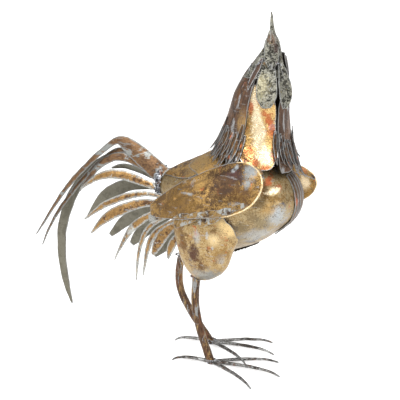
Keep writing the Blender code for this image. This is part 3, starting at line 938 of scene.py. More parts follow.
class WeldGun:
    """Lays beads of weld lumps along seams, with Geometry Nodes."""

    def __init__(self, material: bpy.types.Material) -> None:
        """Builds the node tree once.

        Args:
            material: the weld's material.
        """
        self.material = material
        self.tree = bpy.data.node_groups.new("weld_bead", "GeometryNodeTree")
        inputs = {
            "Seam": "NodeSocketGeometry",
            "Lump radius": "NodeSocketFloat",
            "Lump pitch": "NodeSocketFloat",
            "Wander": "NodeSocketFloat",
            "Seed": "NodeSocketInt",
            "Metal": "NodeSocketMaterial",
        }
        face = self.tree.interface
        self.keys = {}
        for name, kind in inputs.items():
            socket = face.new_socket(name=name, in_out="INPUT", socket_type=kind)
            self.keys[name] = socket.identifier
        face.new_socket(name="Bead", in_out="OUTPUT", socket_type="NodeSocketGeometry")
        self._wire_tree()

    def _add(self, kind: str, sockets: dict, **settings: str) -> bpy.types.NodeSocket:
        """Adds a node to the tree.

        Args:
            kind: the node's type.
            sockets: a value or an output socket for each input.
            settings: its properties.

        Returns:
            The node's first output.
        """
        return add_node(self.tree, kind, settings, sockets).outputs[0]

    def _uneven(self, low: Triple, high: Triple, seed: bpy.types.NodeSocket) -> bpy.types.NodeSocket:
        """A vector that differs from lump to lump.

        Args:
            low: its lowest values.
            high: its highest values.
            seed: the tree's seed.

        Returns:
            The vector's socket.
        """
        sockets = {0: low, 1: high, "Seed": seed}
        return self._add("FunctionNodeRandomValue", sockets, data_type="FLOAT_VECTOR")

    def _wire_tree(self) -> None:
        """Seam to curve, to even points that wander, to uneven lumps, to one mesh."""
        given = self.tree.nodes.new("NodeGroupInput").outputs
        seed = given["Seed"]
        curve = self._add("GeometryNodeMeshToCurve", {"Mesh": given["Seam"]})
        even = {"Curve": curve, "Length": given["Lump pitch"]}
        points = self._add("GeometryNodeResampleCurve", even, mode="LENGTH")
        drift = {0: self._uneven((-1, -1, -1), (1, 1, 1), seed), "Scale": given["Wander"]}
        wander = self._add("ShaderNodeVectorMath", drift, operation="SCALE")
        moved = self._add("GeometryNodeSetPosition", {"Geometry": points, "Offset": wander})
        ball = {"Radius": given["Lump radius"], "Subdivisions": 3}
        lump = self._add("GeometryNodeMeshIcoSphere", ball)
        size = self._uneven((0.65, 0.65, 0.5), (1.4, 1.15, 1.1), seed)
        turn = self._uneven((0, 0, 0), (6.28, 6.28, 6.28), seed)
        places = {"Points": moved, "Instance": lump, "Scale": size, "Rotation": turn}
        lumps = self._add("GeometryNodeInstanceOnPoints", places)
        whole = self._add("GeometryNodeRealizeInstances", {"Geometry": lumps})
        done = self._add("GeometryNodeSetMaterial", {"Geometry": whole, "Material": given["Metal"]})
        self.tree.links.new(done, self.tree.nodes.new("NodeGroupOutput").inputs[0])

    def lay(
        self, name: str, seams: Sequence[Sequence[Vector]], radius: float, pitch: float, seed: int
    ) -> None:
        """Lays beads and hands them over as one piece.

        Args:
            name: the piece's name.
            seams: the lines that the beads follow.
            radius: the radius of a lump.
            pitch: how far apart the lumps are.
            seed: which run of chance the lumps follow.
        """
        work = bmesh.new()
        for seam in seams:
            dots = [work.verts.new(p) for p in seam]
            for a, b in zip(dots, dots[1:]):
                work.edges.new((a, b))
        carrier = settle(work, name + "_seams")
        bead = carrier.modifiers.new("Bead", "NODES")
        bead.node_group = self.tree
        values = {
            "Lump radius": radius,
            "Lump pitch": pitch,
            "Wander": radius * 0.4,
            "Seed": seed,
            "Metal": self.material,
        }
        for key, value in values.items():
            bead[self.keys[key]] = value
        made = evaluated(carrier)
        made.name = name
        made.shade_smooth()
        hand_over(stand(name, made), self.material, Slot.WELD)


def ring(middle: Vector, u: Vector, v: Vector, count: int = 24) -> list[Vector]:
    """A closed line round an ellipse.

    Args:
        middle: its middle.
        u: one half axis.
        v: the other half axis.
        count: how many points it has.

    Returns:
        The points, with the first one again at the end.
    """
    turns = [2 * math.pi * k / count for k in range(count + 1)]
    return [middle + u * math.cos(t) + v * math.sin(t) for t in turns]


@dataclass
class Workshop:
    """What every sub-assembly works with."""

    eye: Eye = field(default_factory=Eye)
    gun: WeldGun = field(default_factory=lambda: WeldGun(WeldMetal().make("weld_metal")))

    def spot(self, pixel: Pixel, lift: float = 0.0) -> Vector:
        """The place on the bird behind a pixel.

        Args:
            pixel: column and row in the photograph.
            lift: how far above the metal.

        Returns:
            The place.
        """
        met = BIRD.meet(self.eye.place, self.eye.ray(pixel))
        if met is None:
            raise ValueError(f"no metal at pixel {pixel}")
        return met[0] + met[1] * lift

    def line(self, pixels: Sequence[Pixel], lift: float = 0.0, steps: int = 8) -> list[Vector]:
        """A line on the bird that follows pixels of the photograph.

        Args:
            pixels: its corners.
            lift: how far above the metal.
            steps: how many places each stretch has.

        Returns:
            The places, without those that miss the bird.
        """
        places = []
        for (a, b), (c, d) in zip(pixels, pixels[1:]):
            for k in range(steps):
                pixel = (a + (c - a) * k / steps, b + (d - b) * k / steps)
                met = BIRD.meet(self.eye.place, self.eye.ray(pixel))
                if met is not None:
                    places.append(met[0] + met[1] * lift)
        return places


# Sub-assemblies


@dataclass
class Trunk:
    """Torso, thighs, back plates and breast strips."""

    shop: Workshop
    axis_height: float = 0.29
    keel_teeth: int = 13
    keel_depth: float = 3.6 * MM
    keel_start: float = 0.115
    keel_end: float = 0.192

    def out(self, points: np.ndarray) -> np.ndarray:
        """The way out from the trunk's middle line at each place."""
        ways = points.copy()
        ways[:, 0] = 0
        ways[:, 2] -= self.axis_height
        return ways / np.linalg.norm(ways, axis=1, keepdims=True)

    def build(self) -> None:
        """Finishes the trunk's pieces and adds its seams."""
        shop = self.shop
        stains_and_painted_light = (
            Stain((278, 218), 24 * MM, SILVER_BLUE, 0.75),
            Stain((258, 236), 26 * MM, SILVER_BLUE, 0.6, (0.6, 1, 1.3)),
            Stain((268, 208), 16 * MM, GOLD, 0.6),
            # Painted shadow: dark patches on the breast along the wing's front rim, where the wing shades
            # it.
            Stain((262, 190), 15 * MM, BRONZE, 0.9),
            Stain((259, 204), 14 * MM, (0.15, 0.10, 0.045), 0.85),
            Stain((252, 218), 15 * MM, (0.17, 0.12, 0.06), 0.8),
            Stain((241, 228), 16 * MM, (0.16, 0.12, 0.065), 0.75),
            Stain((262, 224), 18 * MM, (0.20, 0.165, 0.10), 0.6),
            Stain((269, 181), 9 * MM, COPPER, 0.95),
            Stain((279, 188), 8 * MM, COPPER, 0.9),
            # Painted highlight: pale streaks on the bulge of the breast.
            Stain((276, 190), 7 * MM, CREAM_HIGHLIGHT, 1.0, (0.6, 0.6, 1.4)),
            Stain((270, 193), 6 * MM, CREAM_HIGHLIGHT, 0.9, (0.6, 0.6, 1.6)),
            Stain((276, 199), 9 * MM, OCHRE, 0.7, (0.5, 0.5, 1.4)),
        )
        hull = Patina(
            leaf_light=(0.36, 0.28, 0.155),
            leaf_dark=(0.25, 0.155, 0.055),
            leaf_cover=0.7,
            silver_cover=0.2,
            copper_cover=0.04,
        )
        torso = hull.make("gilt_breast", shop.eye, stains_and_painted_light)
        spot = shop.spot
        seam = Furrow(spot((270, 203)), spot((287, 196)), Vector((-0.4, 0.8, 0.2)), 2.5 * MM, 9 * MM)
        fold = Furrow(spot((264, 190)), spot((252, 232)), Vector((-0.3, 0.9, 0.1)), 1.8 * MM, 10 * MM)
        beating = Beating(dent=1.2 * MM, dent_size=34 * MM)
        dress("torso", "hull", torso, Slot.GILT, beating, None, (seam, fold))
        self.thighs()
        self.plates()
        self.keel()

    def thighs(self) -> None:
        """The two drumsticks."""
        shop = self.shop
        stains_and_painted_light = (
            Stain((206, 276), 24 * MM, (0.28, 0.285, 0.265), 0.9, (0.8, 0.8, 1.3)),
            Stain((188, 272), 12 * MM, (0.28, 0.285, 0.265), 0.7),
            Stain((221, 260), 10 * MM, SILVER_BLUE, 0.7, (1.2, 1, 0.7)),
            Stain((196, 238), 11 * MM, SILVER_BLUE, 0.6, (1.3, 1, 0.7)),
            Stain((220, 256), 16 * MM, OCHRE, 0.7),
            Stain((180, 236), 16 * MM, OCHRE, 0.85),
            Stain((183, 243), 15 * MM, BRONZE, 0.9, (1.3, 1, 0.8)),
            Stain((193, 255), 18 * MM, (0.075, 0.036, 0.026), 0.95, (1.3, 1, 0.7)),
            Stain((201, 267), 13 * MM, BRONZE, 0.95, (1.3, 1, 0.7)),
            # Painted highlight: pale cream-gold patches on the top of the thigh.
            Stain((229, 229), 20 * MM, (0.74, 0.54, 0.26), 0.85),
            Stain((214, 240), 13 * MM, (0.72, 0.55, 0.30), 0.7),
            Stain((209, 248), 4 * MM, COPPER, 0.7),
        )
        leaf = Patina(
            ground_light=OCHRE,
            ground_dark=BRONZE,
            leaf_light=(0.44, 0.33, 0.17),
            leaf_dark=(0.30, 0.18, 0.06),
            leaf_cover=0.7,
            silver_cover=0.1,
            grain=30 * MM,
            speck=0.85,
        )
        material = leaf.make("gilt_thigh", shop.eye, stains_and_painted_light)
        for side in Side:
            beating = Beating(dent=1.6 * MM, dent_size=30 * MM, seed=2.0 + side.value)
            furrows = ()
            if side is Side.RIGHT:
                way = Vector((-0.2, 0.95, 0))
                furrows = (
                    Furrow(shop.spot((192, 240)), shop.spot((202, 272)), way, 3.0 * MM, 10 * MM),
                    Furrow(shop.spot((232, 240)), shop.spot((216, 268)), way, 1.4 * MM, 8 * MM),
                )
            dress(f"thigh_{side.word}", "shell", material, Slot.GILT, beating, None, furrows)

    def plates(self) -> None:
        """The plates of the back and the strips of the breast."""
        shop = self.shop
        collar = (
            Stain((234, 156), 15 * MM, SILVER_BLUE, 0.95, (0.7, 1, 1)),
            Stain((222, 150), 10 * MM, BRONZE, 0.7),
            Stain((196, 165), 30 * MM, (0.36, 0.24, 0.10), 0.7),
        )
        saddle = Patina(leaf_cover=0.6, silver_cover=0.05, edge=1.5, copper_cover=0.05)
        back = saddle.make("gilt_back", shop.eye, collar)
        brown = Patina(
            leaf_cover=0.35,
            leaf_light=OCHRE,
            leaf_dark=BRONZE,
            silver_cover=0.12,
            edge=1.6,
            stretch=(1, 1, 0.4),
        )
        strip = brown.make("rusty_strip", shop.eye)
        for side in Side:
            for place in ("rear", "front"):
                node = f"back_plate_{place}_{side.word}"
                beating = Beating(levels=2, dent=0.8 * MM, seed=len(node) + side.value)
                dress(node, "leaf", back, Slot.GILT, beating, self.out)
        for k in range(1, 6):
            beating = Beating(levels=2, dent=0.7 * MM, dent_size=15 * MM, seed=float(k))
            dress(f"breast_strip_{k}", "leaf", strip, Slot.RUSTY, beating)

    def keel(self) -> None:
        """The dark saw-toothed flange of the seam under the belly."""
        rows = []
        hull = Skin(["torso"])
        count = self.keel_teeth * 2
        for k in range(count + 1):
            share = k / count
            x = self.keel_start + (self.keel_end - self.keel_start) * share
            met = hull.meet(Vector((x, 0, 0)), Vector((0, 0, 1)))
            drop = self.keel_depth * (1.0 if k % 2 else 0.55) * (0.5 + 0.5 * math.sin(math.pi * share))
            if met is not None:
                rows.append([Vector((x, 0, met[0].z + 2 * MM)), Vector((x, 0, met[0].z - drop))])
        dark = Patina(leaf_cover=0.05, silver_cover=0.15, ground_light=OLIVE_DARK, ground_dark=INK, edge=0.6)
        material = dark.make("dark_seam", self.shop.eye)
        hand_over(beat("belly_flange", slab(rows, 1.4 * MM), Beating(levels=1)), material, Slot.GILT)


@dataclass
class Wing:
    """One dished wing plate, its rim and the feathers under it."""

    shop: Workshop
    side: Side
    rise: float
    hinge: Vector
    flare: float = math.radians(6)
    lean: float = math.radians(22)
    rim_radius: float = 1.6 * MM
    rim_from: float = 8 * MM
    rim_hub: float = 30 * MM
    dish_depth: float = 15
    dish_length: float = 130
    dish_height: float = 60
    fold: float = 5
    outline: tuple[tuple[float, float], ...] = (
        (-114, 9),
        (-100, 16),
        (-74, 24),
        (-40, 32),
        (0, 38.5),
        (40, 42.5),
        (70, 42),
        (92, 35),
        (108, 23),
        (117, 7),
    )
    tips: tuple[tuple[float, float, float], ...] = (
        (82, 38, 12),
        (60, 42, 13),
        (34, 44, 13),
        (6, 40, 11),
        (-24, 34, 9),
    )

    def __post_init__(self) -> None:
        """Works out the wing's own axes and its middle."""
        sign = self.side.value
        level = Vector((math.cos(self.flare), sign * math.sin(self.flare), 0))
        self.along = level * math.cos(self.rise) + Vector((0, 0, math.sin(self.rise)))
        steep = Vector((0, 0, math.cos(self.rise))) - level * math.sin(self.rise)
        upright = Vector((0, -sign * math.sin(self.lean), 0)) + steep * math.cos(self.lean)
        self.up = (upright - self.along * upright.dot(self.along)).normalized()
        self.outward = self.along.cross(self.up)
        if self.outward.y * sign < 0:
            self.outward = -self.outward
        low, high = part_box(f"wing_plate_{self.side.word}")
        self.middle = (low + high) / 2

    def out(self, points: np.ndarray) -> np.ndarray:
        """The way out of the bird at each place."""
        return np.tile(np.array(self.outward), (len(points), 1))

    def rim(self, plate: bpy.types.Object) -> list[Vector]:
        """The line of the plate's front rim.

        Args:
            plate: the finished plate.

        Returns:
            Places along the rim, from its lower end over the front to its upper end.
        """
        mesh = plate.data
        away = np.zeros(len(mesh.vertices), np.float32)
        mesh.attributes["rim"].data.foreach_get("value", away)
        points = as_numbers(mesh.vertices, "co")[away < 0.2] - np.array(self.middle)
        local = points @ np.array([self.along, self.up, self.outward]).T
        front = local[local[:, 0] > self.rim_from]
        angles = np.arctan2(front[:, 1], front[:, 0] - self.rim_hub)
        path = []
        for low in np.linspace(-1.6, 0.75, 32):
            near = front[(angles >= low) & (angles < low + 0.1)]
            if len(near):
                reach = np.hypot(near[:, 0] - self.rim_hub, near[:, 1]) + near[:, 2]
                path.append(near[np.argmax(reach)])
        for _ in range(2):
            inside = [(a + 2 * b + c) / 4 for a, b, c in zip(path, path[1:], path[2:])]
            path = [path[0], *inside, path[-1]]
        places = []
        for along, up, out in path:
            shift = self.along * float(along) + self.up * float(up) + self.outward * float(out)
            places.append(self.middle + shift)
        return places

    def build(
        self, material: bpy.types.Material, under: bpy.types.Material, pale: bpy.types.Material
    ) -> None:
        """Finishes the wing.

        Args:
            material: the plate's finish.
            under: the finish of the feathers under it.
            pale: the finish of the rim, whose pale gold and cream are a painted highlight.
        """
        word = self.side.word
        furrows = ()
        if self.side is Side.RIGHT:
            spot = self.shop.spot
            furrows = (
                Furrow(spot((176, 198)), spot((203, 189)), -self.outward, 1.6 * MM, 6 * MM),
                Furrow(spot((180, 192)), spot((236, 171)), self.outward, 1.0 * MM, 7 * MM),
                Furrow(spot((188, 233)), spot((232, 231)), self.outward, 0.9 * MM, 6 * MM),
            )
        levels = 4 if self.side is Side.RIGHT else 3
        beating = Beating(levels, dent=1.0 * MM, dent_size=40 * MM, seed=4.0 + self.side.value)
        plate = dress(f"wing_plate_{word}", "dish", material, Slot.GILT, beating, None, furrows)
        self.frayed_tips(under)
        bead = tube(self.rim(plate), self.rim_thickness)
        round_bar = Beating(levels=1, hard=math.pi, dent=0.3 * MM, dent_size=12 * MM)
        hand_over(beat(f"wing_rim_{word}", bead, round_bar), pale, Slot.GILT)
        for place in ("rear", "middle", "front"):
            beating = Beating(dent=0.8 * MM, dent_size=18 * MM, seed=float(len(place)))
            dress(f"wing_feather_{place}_{word}", "leaf", under, Slot.SILVER, beating, self.out)

    def rim_thickness(self, share: float) -> float:
        """The radius of the rim's bead, thinner towards its ends.

        Args:
            share: how far along the rim, from 0 to 1.

        Returns:
            The radius.
        """
        full = math.sin(math.pi * min(max(share, 0.04), 0.96)) ** 0.6
        return self.rim_radius * (0.35 + 0.65 * full)

    def place(self, along: float, up: float, lift: float) -> Vector:
        """A place on the dished plate.

        Args:
            along: how far ahead of the wing's middle, in millimetres.
            up: how far above it, in millimetres.
            lift: how far out from the plate, in millimetres.

        Returns:
            The place.
        """
        length, height = along / self.dish_length, (up + self.fold) / self.dish_height
        out = self.dish_depth * (1 - length**2 - height**2) + lift
        return self.hinge + (self.along * along + self.up * up + self.outward * out) * MM

    def frayed_tips(self, material: bpy.types.Material) -> None:
        """The lapping leaf tips along the plate's lower edge.

        Args:
            material: their finish.
        """
        stations, halves = zip(*self.outline)
        chance = random.Random(8)
        leaves = []
        for root, length, width in self.tips:
            edge = -self.fold - float(np.interp(root, stations, halves))
            far = -self.fold - float(np.interp(root - length, stations, halves))
            rows = []
            for k in range(8):
                share = k / 7
                along = root - length * share
                middle = edge + 7 + (far - edge - 5.0) * share + 1.5 * math.sin(math.pi * share)
                taper = (0.45 + 0.9 * share) * (1 - share**2.2)
                half = width / 2 * taper + 0.35 + chance.uniform(-0.6, 0.6) * share
                lift = 0.7 + 1.4 * share**2
                sides = ((-1, lift), (0, lift + 0.9), (1, lift))
                rows.append([self.place(along, middle + half * c, height) for c, height in sides])
            leaves.append(slab(rows, 1.0 * MM))
        beating = Beating(levels=2, dent=0.7 * MM, dent_size=12 * MM)
        hand_over(beat(f"wing_tips_{self.side.word}", merged(leaves), beating), material, Slot.SILVER)


@dataclass
class Wings:
    """Both wings and their finishes."""

    shop: Workshop

    def build(self) -> None:
        """Makes the finishes and both wings."""
        shop = self.shop
        stains_and_painted_light = (
            Stain((178, 205), 58 * MM, (0.18, 0.10, 0.03), 0.75),
            Stain((228, 179), 44 * MM, (0.046, 0.024, 0.016), 0.9, (0.8, 1, 1)),
            Stain((218, 193), 28 * MM, (0.075, 0.042, 0.022), 0.6),
            Stain((242, 196), 22 * MM, BRONZE, 0.75),
            Stain((235, 173), 16 * MM, PLUM, 0.95),
            Stain((251, 171), 15 * MM, (0.30, 0.315, 0.31), 0.95, (1, 1, 0.8)),
            Stain((247, 184), 9 * MM, (0.30, 0.315, 0.31), 0.8),
            Stain((236, 168), 5 * MM, SILVER_BLUE, 0.9, (1, 1, 0.5)),
            Stain((233, 171), 4 * MM, SILVER_BLUE, 0.8),
            Stain((238, 206), 9 * MM, SILVER_BLUE, 0.5, (0.5, 1, 1.6)),
            Stain((166, 205), 12 * MM, BRONZE, 0.6),
            Stain((188, 194), 8 * MM, SILVER_BLUE, 0.7, (0.5, 1, 3)),
            Stain((200, 182), 14 * MM, GOLD, 0.6),
            # Painted highlight on the far wing's edge.
            Stain((305, 182), 12 * MM, CREAM_HIGHLIGHT, 0.9, (1, 1, 0.7)),
            Stain((304, 195), 9 * MM, COPPER, 0.8),
            Stain((304, 170), 8 * MM, COPPER, 0.6),
        )
        plate = Patina(
            leaf_cover=0.6,
            silver_cover=0.02,
            copper_cover=0.03,
            grain=32 * MM,
            edge=1.3,
            relief=0.7 * MM,
            speck=0.9,
        )
        gilt = plate.make("gilt_wing", shop.eye, stains_and_painted_light)
        leaf = Patina(
            leaf_cover=0.6,
            silver_cover=0.45,
            edge=0.5,
            silver=(0.37, 0.38, 0.36),
            leaf_light=(0.30, 0.20, 0.085),
            copper_cover=0.0,
            ground_light=(0.11, 0.07, 0.035),
            grain=24 * MM,
        )
        under = leaf.make("silver_leaf", shop.eye)
        # The rim bead's pale gold and cream are a painted highlight along the wing's front rim.
        bright = Patina(
            ground_light=GOLD,
            ground_dark=OCHRE,
            leaf_light=CREAM_HIGHLIGHT,
            leaf_dark=GOLD_BRIGHT,
            leaf_cover=0.8,
            speck=0.2,
            silver_cover=0.15,
            copper_cover=0.0,
            grain=20 * MM,
            rough=0.28,
        )
        pale = bright.make("bright_rim", shop.eye)
        right = Wing(shop, Side.RIGHT, math.radians(19.5), Vector((0.1314, -0.0862, 0.311)))
        left = Wing(shop, Side.LEFT, math.radians(8), Vector((0.1354, 0.0867, 0.295)))
        for wing in (right, left):
            wing.build(gilt, under, pale)


@dataclass(frozen=True)
class Fringe:
    """One layer of loose strips round a hem of the neck, from one turn and hem height to another."""

    name: str
    turns: tuple[float, float]
    hems: tuple[float, float]
    count: int
    width: float
    lift: float
    seed: int


@dataclass
class Neck:
    """Hackle sheets with their loose strips, throat plates and ear lobes."""

    shop: Workshop
    front: float = math.radians(-37)
    tuck: float = 3.2 * MM
    axis: tuple[tuple[float, float], ...] = (
        (0.348, 0.175),
        (0.43, 0.188),
        (0.492, 0.198),
        (0.536, 0.211),
    )
    lengths: tuple[float, float] = (20 * MM, 40 * MM)
    overhangs: tuple[float, float] = (14 * MM, 26 * MM)

    def __post_init__(self) -> None:
        """Finds the neck's own skin."""
        nodes = ["hackle_cape_right", "hackle_cape_left", "throat_plate_right", "throat_plate_left"]
        self.skin = Skin(nodes)

    def middle(self, height: float) -> Vector:
        """The neck's middle line at a height."""
        heights, places = zip(*self.axis)
        return Vector((float(np.interp(height, heights, places)), 0, height))

    def out(self, points: np.ndarray) -> np.ndarray:
        """The way out from the neck's middle line at each place."""
        heights, places = zip(*self.axis)
        ways = points.copy()
        ways[:, 0] -= np.interp(points[:, 2], heights, places)
        ways[:, 2] = 0
        return ways / np.linalg.norm(ways, axis=1, keepdims=True)

    def place(self, height: float, turn: float, lift: float) -> Vector:
        """A place on the neck's skin.

        Args:
            height: its height.
            turn: degrees round the neck from the throat, to the bird's left.
            lift: how far above the skin.

        Returns:
            The place.
        """
        angle = self.front + math.radians(turn)
        way = Vector((math.cos(angle), math.sin(angle), 0))
        middle = self.middle(height)
        met = self.skin.meet(middle + way * 0.2, -way)
        reach = (met[0] - middle).dot(way) if met else 0.055
        return middle + way * (max(reach, 0.02) + lift)

    def strip(
        self,
        turn: float,
        hem: float,
        length: float,
        overhang: float,
        width: float,
        lift: float,
        flare: float,
    ) -> bmesh.types.BMesh:
        """One long pointed strip that lies on the hackle and hangs over its hem.

        Args:
            turn: degrees round the neck.
            hem: height of the hem under it.
            length: how far it reaches up from the hem.
            overhang: how far it hangs over the hem.
            width: its width.
            lift: how far above the skin it lies.
            flare: how far its tip stands out.

        Returns:
            The strip.
        """
        spine = [self.place(hem + length * (1 - k / 5), turn, lift * (0.4 + 0.12 * k)) for k in range(6)]
        angle = self.front + math.radians(turn)
        way = Vector((math.cos(angle), math.sin(angle), 0))
        across = Vector((-way.y, way.x, 0))
        drop = (spine[-1] - spine[-2]).normalized()
        for share in (1 / 3, 2 / 3, 1):
            spine.append(spine[5] + drop * (overhang * share) + way * (flare * share**2))
        shares = (0.5, 0.8, 1, 1, 1, 1, 0.82, 0.5, 0.05)
        rows = []
        for spot, share in zip(spine, shares):
            half = across * (width / 2 * share)
            rows.append([spot - half, spot + way * (width * 0.16 * share), spot + half])
        return slab(rows, 1.0 * MM)

    def layer(self, fringe: Fringe, material: bpy.types.Material) -> None:
        """Lays one layer of strips.

        Args:
            fringe: where the strips hang and how wide they are.
            material: their finish.
        """
        chance = random.Random(fringe.seed)
        (first_turn, last_turn), (first_hem, last_hem) = fringe.turns, fringe.hems
        strips = []
        for k in range(fringe.count):
            share = k / (fringe.count - 1)
            turn = first_turn + (last_turn - first_turn) * share + chance.uniform(-1.5, 1.5)
            hem = first_hem + (last_hem - first_hem) * share
            length = chance.uniform(*self.lengths)
            overhang = chance.uniform(*self.overhangs)
            width = fringe.width * chance.uniform(0.8, 1.15)
            flare = chance.uniform(2, 7) * MM
            strips.append(self.strip(turn, hem, length, overhang, width, fringe.lift, flare))
        beating = Beating(levels=2, dent=0.6 * MM, dent_size=14 * MM, seed=float(fringe.seed))
        hand_over(beat(fringe.name, merged(strips), beating), material, Slot.RUSTY)

    def build(self) -> None:
        """Finishes the neck's pieces and lays the loose strips on them."""
        shop = self.shop
        brown = Patina(
            ground_light=(0.10, 0.052, 0.030),
            leaf_light=(0.17, 0.085, 0.036),
            leaf_dark=(0.08, 0.04, 0.026),
            leaf_cover=0.5,
            silver_cover=0.28,
            silver=(0.33, 0.33, 0.33),
            copper_cover=0.02,
            # Dark back: painted shade on the inner sides of the capes.
            back=(0.055, 0.034, 0.022),
            edge=1.8,
            grain=26 * MM,
            metallic=0.75,
            stretch=(1, 1, 0.25),
        )
        cape_stains = (
            Stain((243, 72), 18 * MM, (0.21, 0.19, 0.155), 0.75, (1, 1, 0.5)),
            Stain((235, 88), 16 * MM, (0.20, 0.185, 0.155), 0.7, (1, 1, 0.5)),
            Stain((227, 110), 14 * MM, (0.19, 0.18, 0.155), 0.65, (1, 1, 0.45)),
            Stain((243, 124), 13 * MM, (0.34, 0.21, 0.08), 0.85, (1, 1, 0.45)),
            Stain((240, 140), 10 * MM, OCHRE, 0.8, (1, 1, 0.6)),
            Stain((234, 136), 11 * MM, UMBER, 0.7, (1, 1, 0.6)),
            Stain((282, 150), 16 * MM, UMBER, 0.7, (1, 1, 0.5)),
            Stain((256, 72), 13 * MM, (0.055, 0.036, 0.028), 0.9, (1, 1, 0.4)),
            Stain((251, 85), 11 * MM, (0.06, 0.036, 0.026), 0.85, (1, 1, 0.4)),
        )
        rusty = brown.make("rusty_hackle", shop.eye, cape_stains)
        throat_stains_and_highlights = (
            Stain((241, 128), 30 * MM, OCHRE, 0.7, (1, 1, 0.5)),
            Stain((244, 110), 10 * MM, SILVER, 0.6, (1, 1, 0.5)),
            Stain((247, 142), 14 * MM, GOLD, 0.6, (1, 1, 0.6)),
            # Painted highlight: a pale streak down the middle of the throat plate.
            Stain((254, 100), 8 * MM, CREAM_HIGHLIGHT, 0.9, (1, 1, 0.35)),
            Stain((257, 118), 10 * MM, CREAM_HIGHLIGHT, 1.0, (1, 1, 0.4)),
            Stain((259, 135), 12 * MM, CREAM_HIGHLIGHT, 1.0, (1, 1, 0.45)),
            Stain((262, 152), 17 * MM, CREAM_HIGHLIGHT, 1.0, (1, 1, 0.7)),
            Stain((268, 160), 10 * MM, CREAM_HIGHLIGHT, 0.8, (1, 1, 0.7)),
            Stain((268, 118), 8 * MM, COPPER, 0.8, (1, 1, 0.7)),
            Stain((271, 130), 9 * MM, COPPER, 0.75, (1, 1, 0.6)),
            Stain((270, 144), 9 * MM, GOLD, 0.8, (1, 1, 0.6)),
            Stain((264, 113), 7 * MM, COPPER, 0.8),
            Stain((251, 108), 5 * MM, COPPER, 0.9, (1, 1, 0.35)),
            Stain((249, 152), 10 * MM, COPPER, 0.95, (0.8, 1, 0.9)),
            Stain((242, 146), 9 * MM, BRONZE, 0.9),
            Stain((255, 163), 9 * MM, COPPER, 0.9),
            Stain((266, 168), 8 * MM, COPPER, 0.9, (0.7, 0.7, 1.6)),
            Stain((242, 157), 10 * MM, BRONZE, 1.0),
            Stain((246, 162), 6 * MM, (0.10, 0.05, 0.03), 0.9),
            Stain((275, 152), 8 * MM, BRONZE, 1.0, (1, 1, 0.5)),
        )
        band = Patina(
            leaf_light=GOLD_BRIGHT,
            leaf_dark=(0.32, 0.19, 0.06),
            leaf_cover=0.68,
            silver_cover=0.12,
            copper_cover=0.2,
            # Ink back: painted shade inside the neck.
            back=INK,
            edge=1.6,
            rough=0.26,
            speck=0.3,
        )
        throat = band.make("gilt_throat", shop.eye, throat_stains_and_highlights)
        sheets = ("hackle_cape_right", "hackle_cape_left", "ear_lobe_right", "ear_lobe_left")
        for node in (*sheets, "throat_plate_right", "throat_plate_left"):
            material, slot = (throat, Slot.GILT) if node == "throat_plate_right" else (rusty, Slot.RUSTY)
            beating = Beating(dent=0.9 * MM, dent_size=26 * MM, seed=float(len(node)))
            work = cad_copy(node)
            if node in ("hackle_cape_left", "ear_lobe_left"):
                ways = self.out(np.array([v.co for v in work.verts]))
                for vertex, way in zip(work.verts, ways):
                    vertex.co -= Vector(way) * self.tuck
            dress(node, "sheet", material, slot, beating, self.out, work=work)
        dark = Patina(
            ground_dark=INK,
            ground_light=UMBER,
            leaf_light=BRONZE,
            leaf_dark=UMBER,
            leaf_cover=0.45,
            silver_cover=0.15,
            silver=(0.36, 0.37, 0.37),
            edge=1.25,
            stretch=(1, 1, 0.4),
            grain=20 * MM,
        )
        fringe_strip = dark.make("fringe_strip", shop.eye)
        stem = "hackle_strips"
        for fringe in (
            Fringe(f"{stem}_right_low", (-49, -172), (0.377, 0.388), 18, 9 * MM, 1.6 * MM, 3),
            Fringe(f"{stem}_right_high", (-56, -170), (0.390, 0.400), 14, 7 * MM, 2.6 * MM, 5),
            Fringe(f"{stem}_left_low", (50, 172), (0.360, 0.388), 16, 9 * MM, -1.4 * MM, 7),
            Fringe(f"{stem}_left_high", (52, 150), (0.376, 0.398), 12, 7 * MM, -0.6 * MM, 9),
            Fringe(f"{stem}_front", (2, 52), (0.382, 0.356), 10, 8 * MM, 1.8 * MM, 12),
        ):
            self.layer(fringe, fringe_strip)


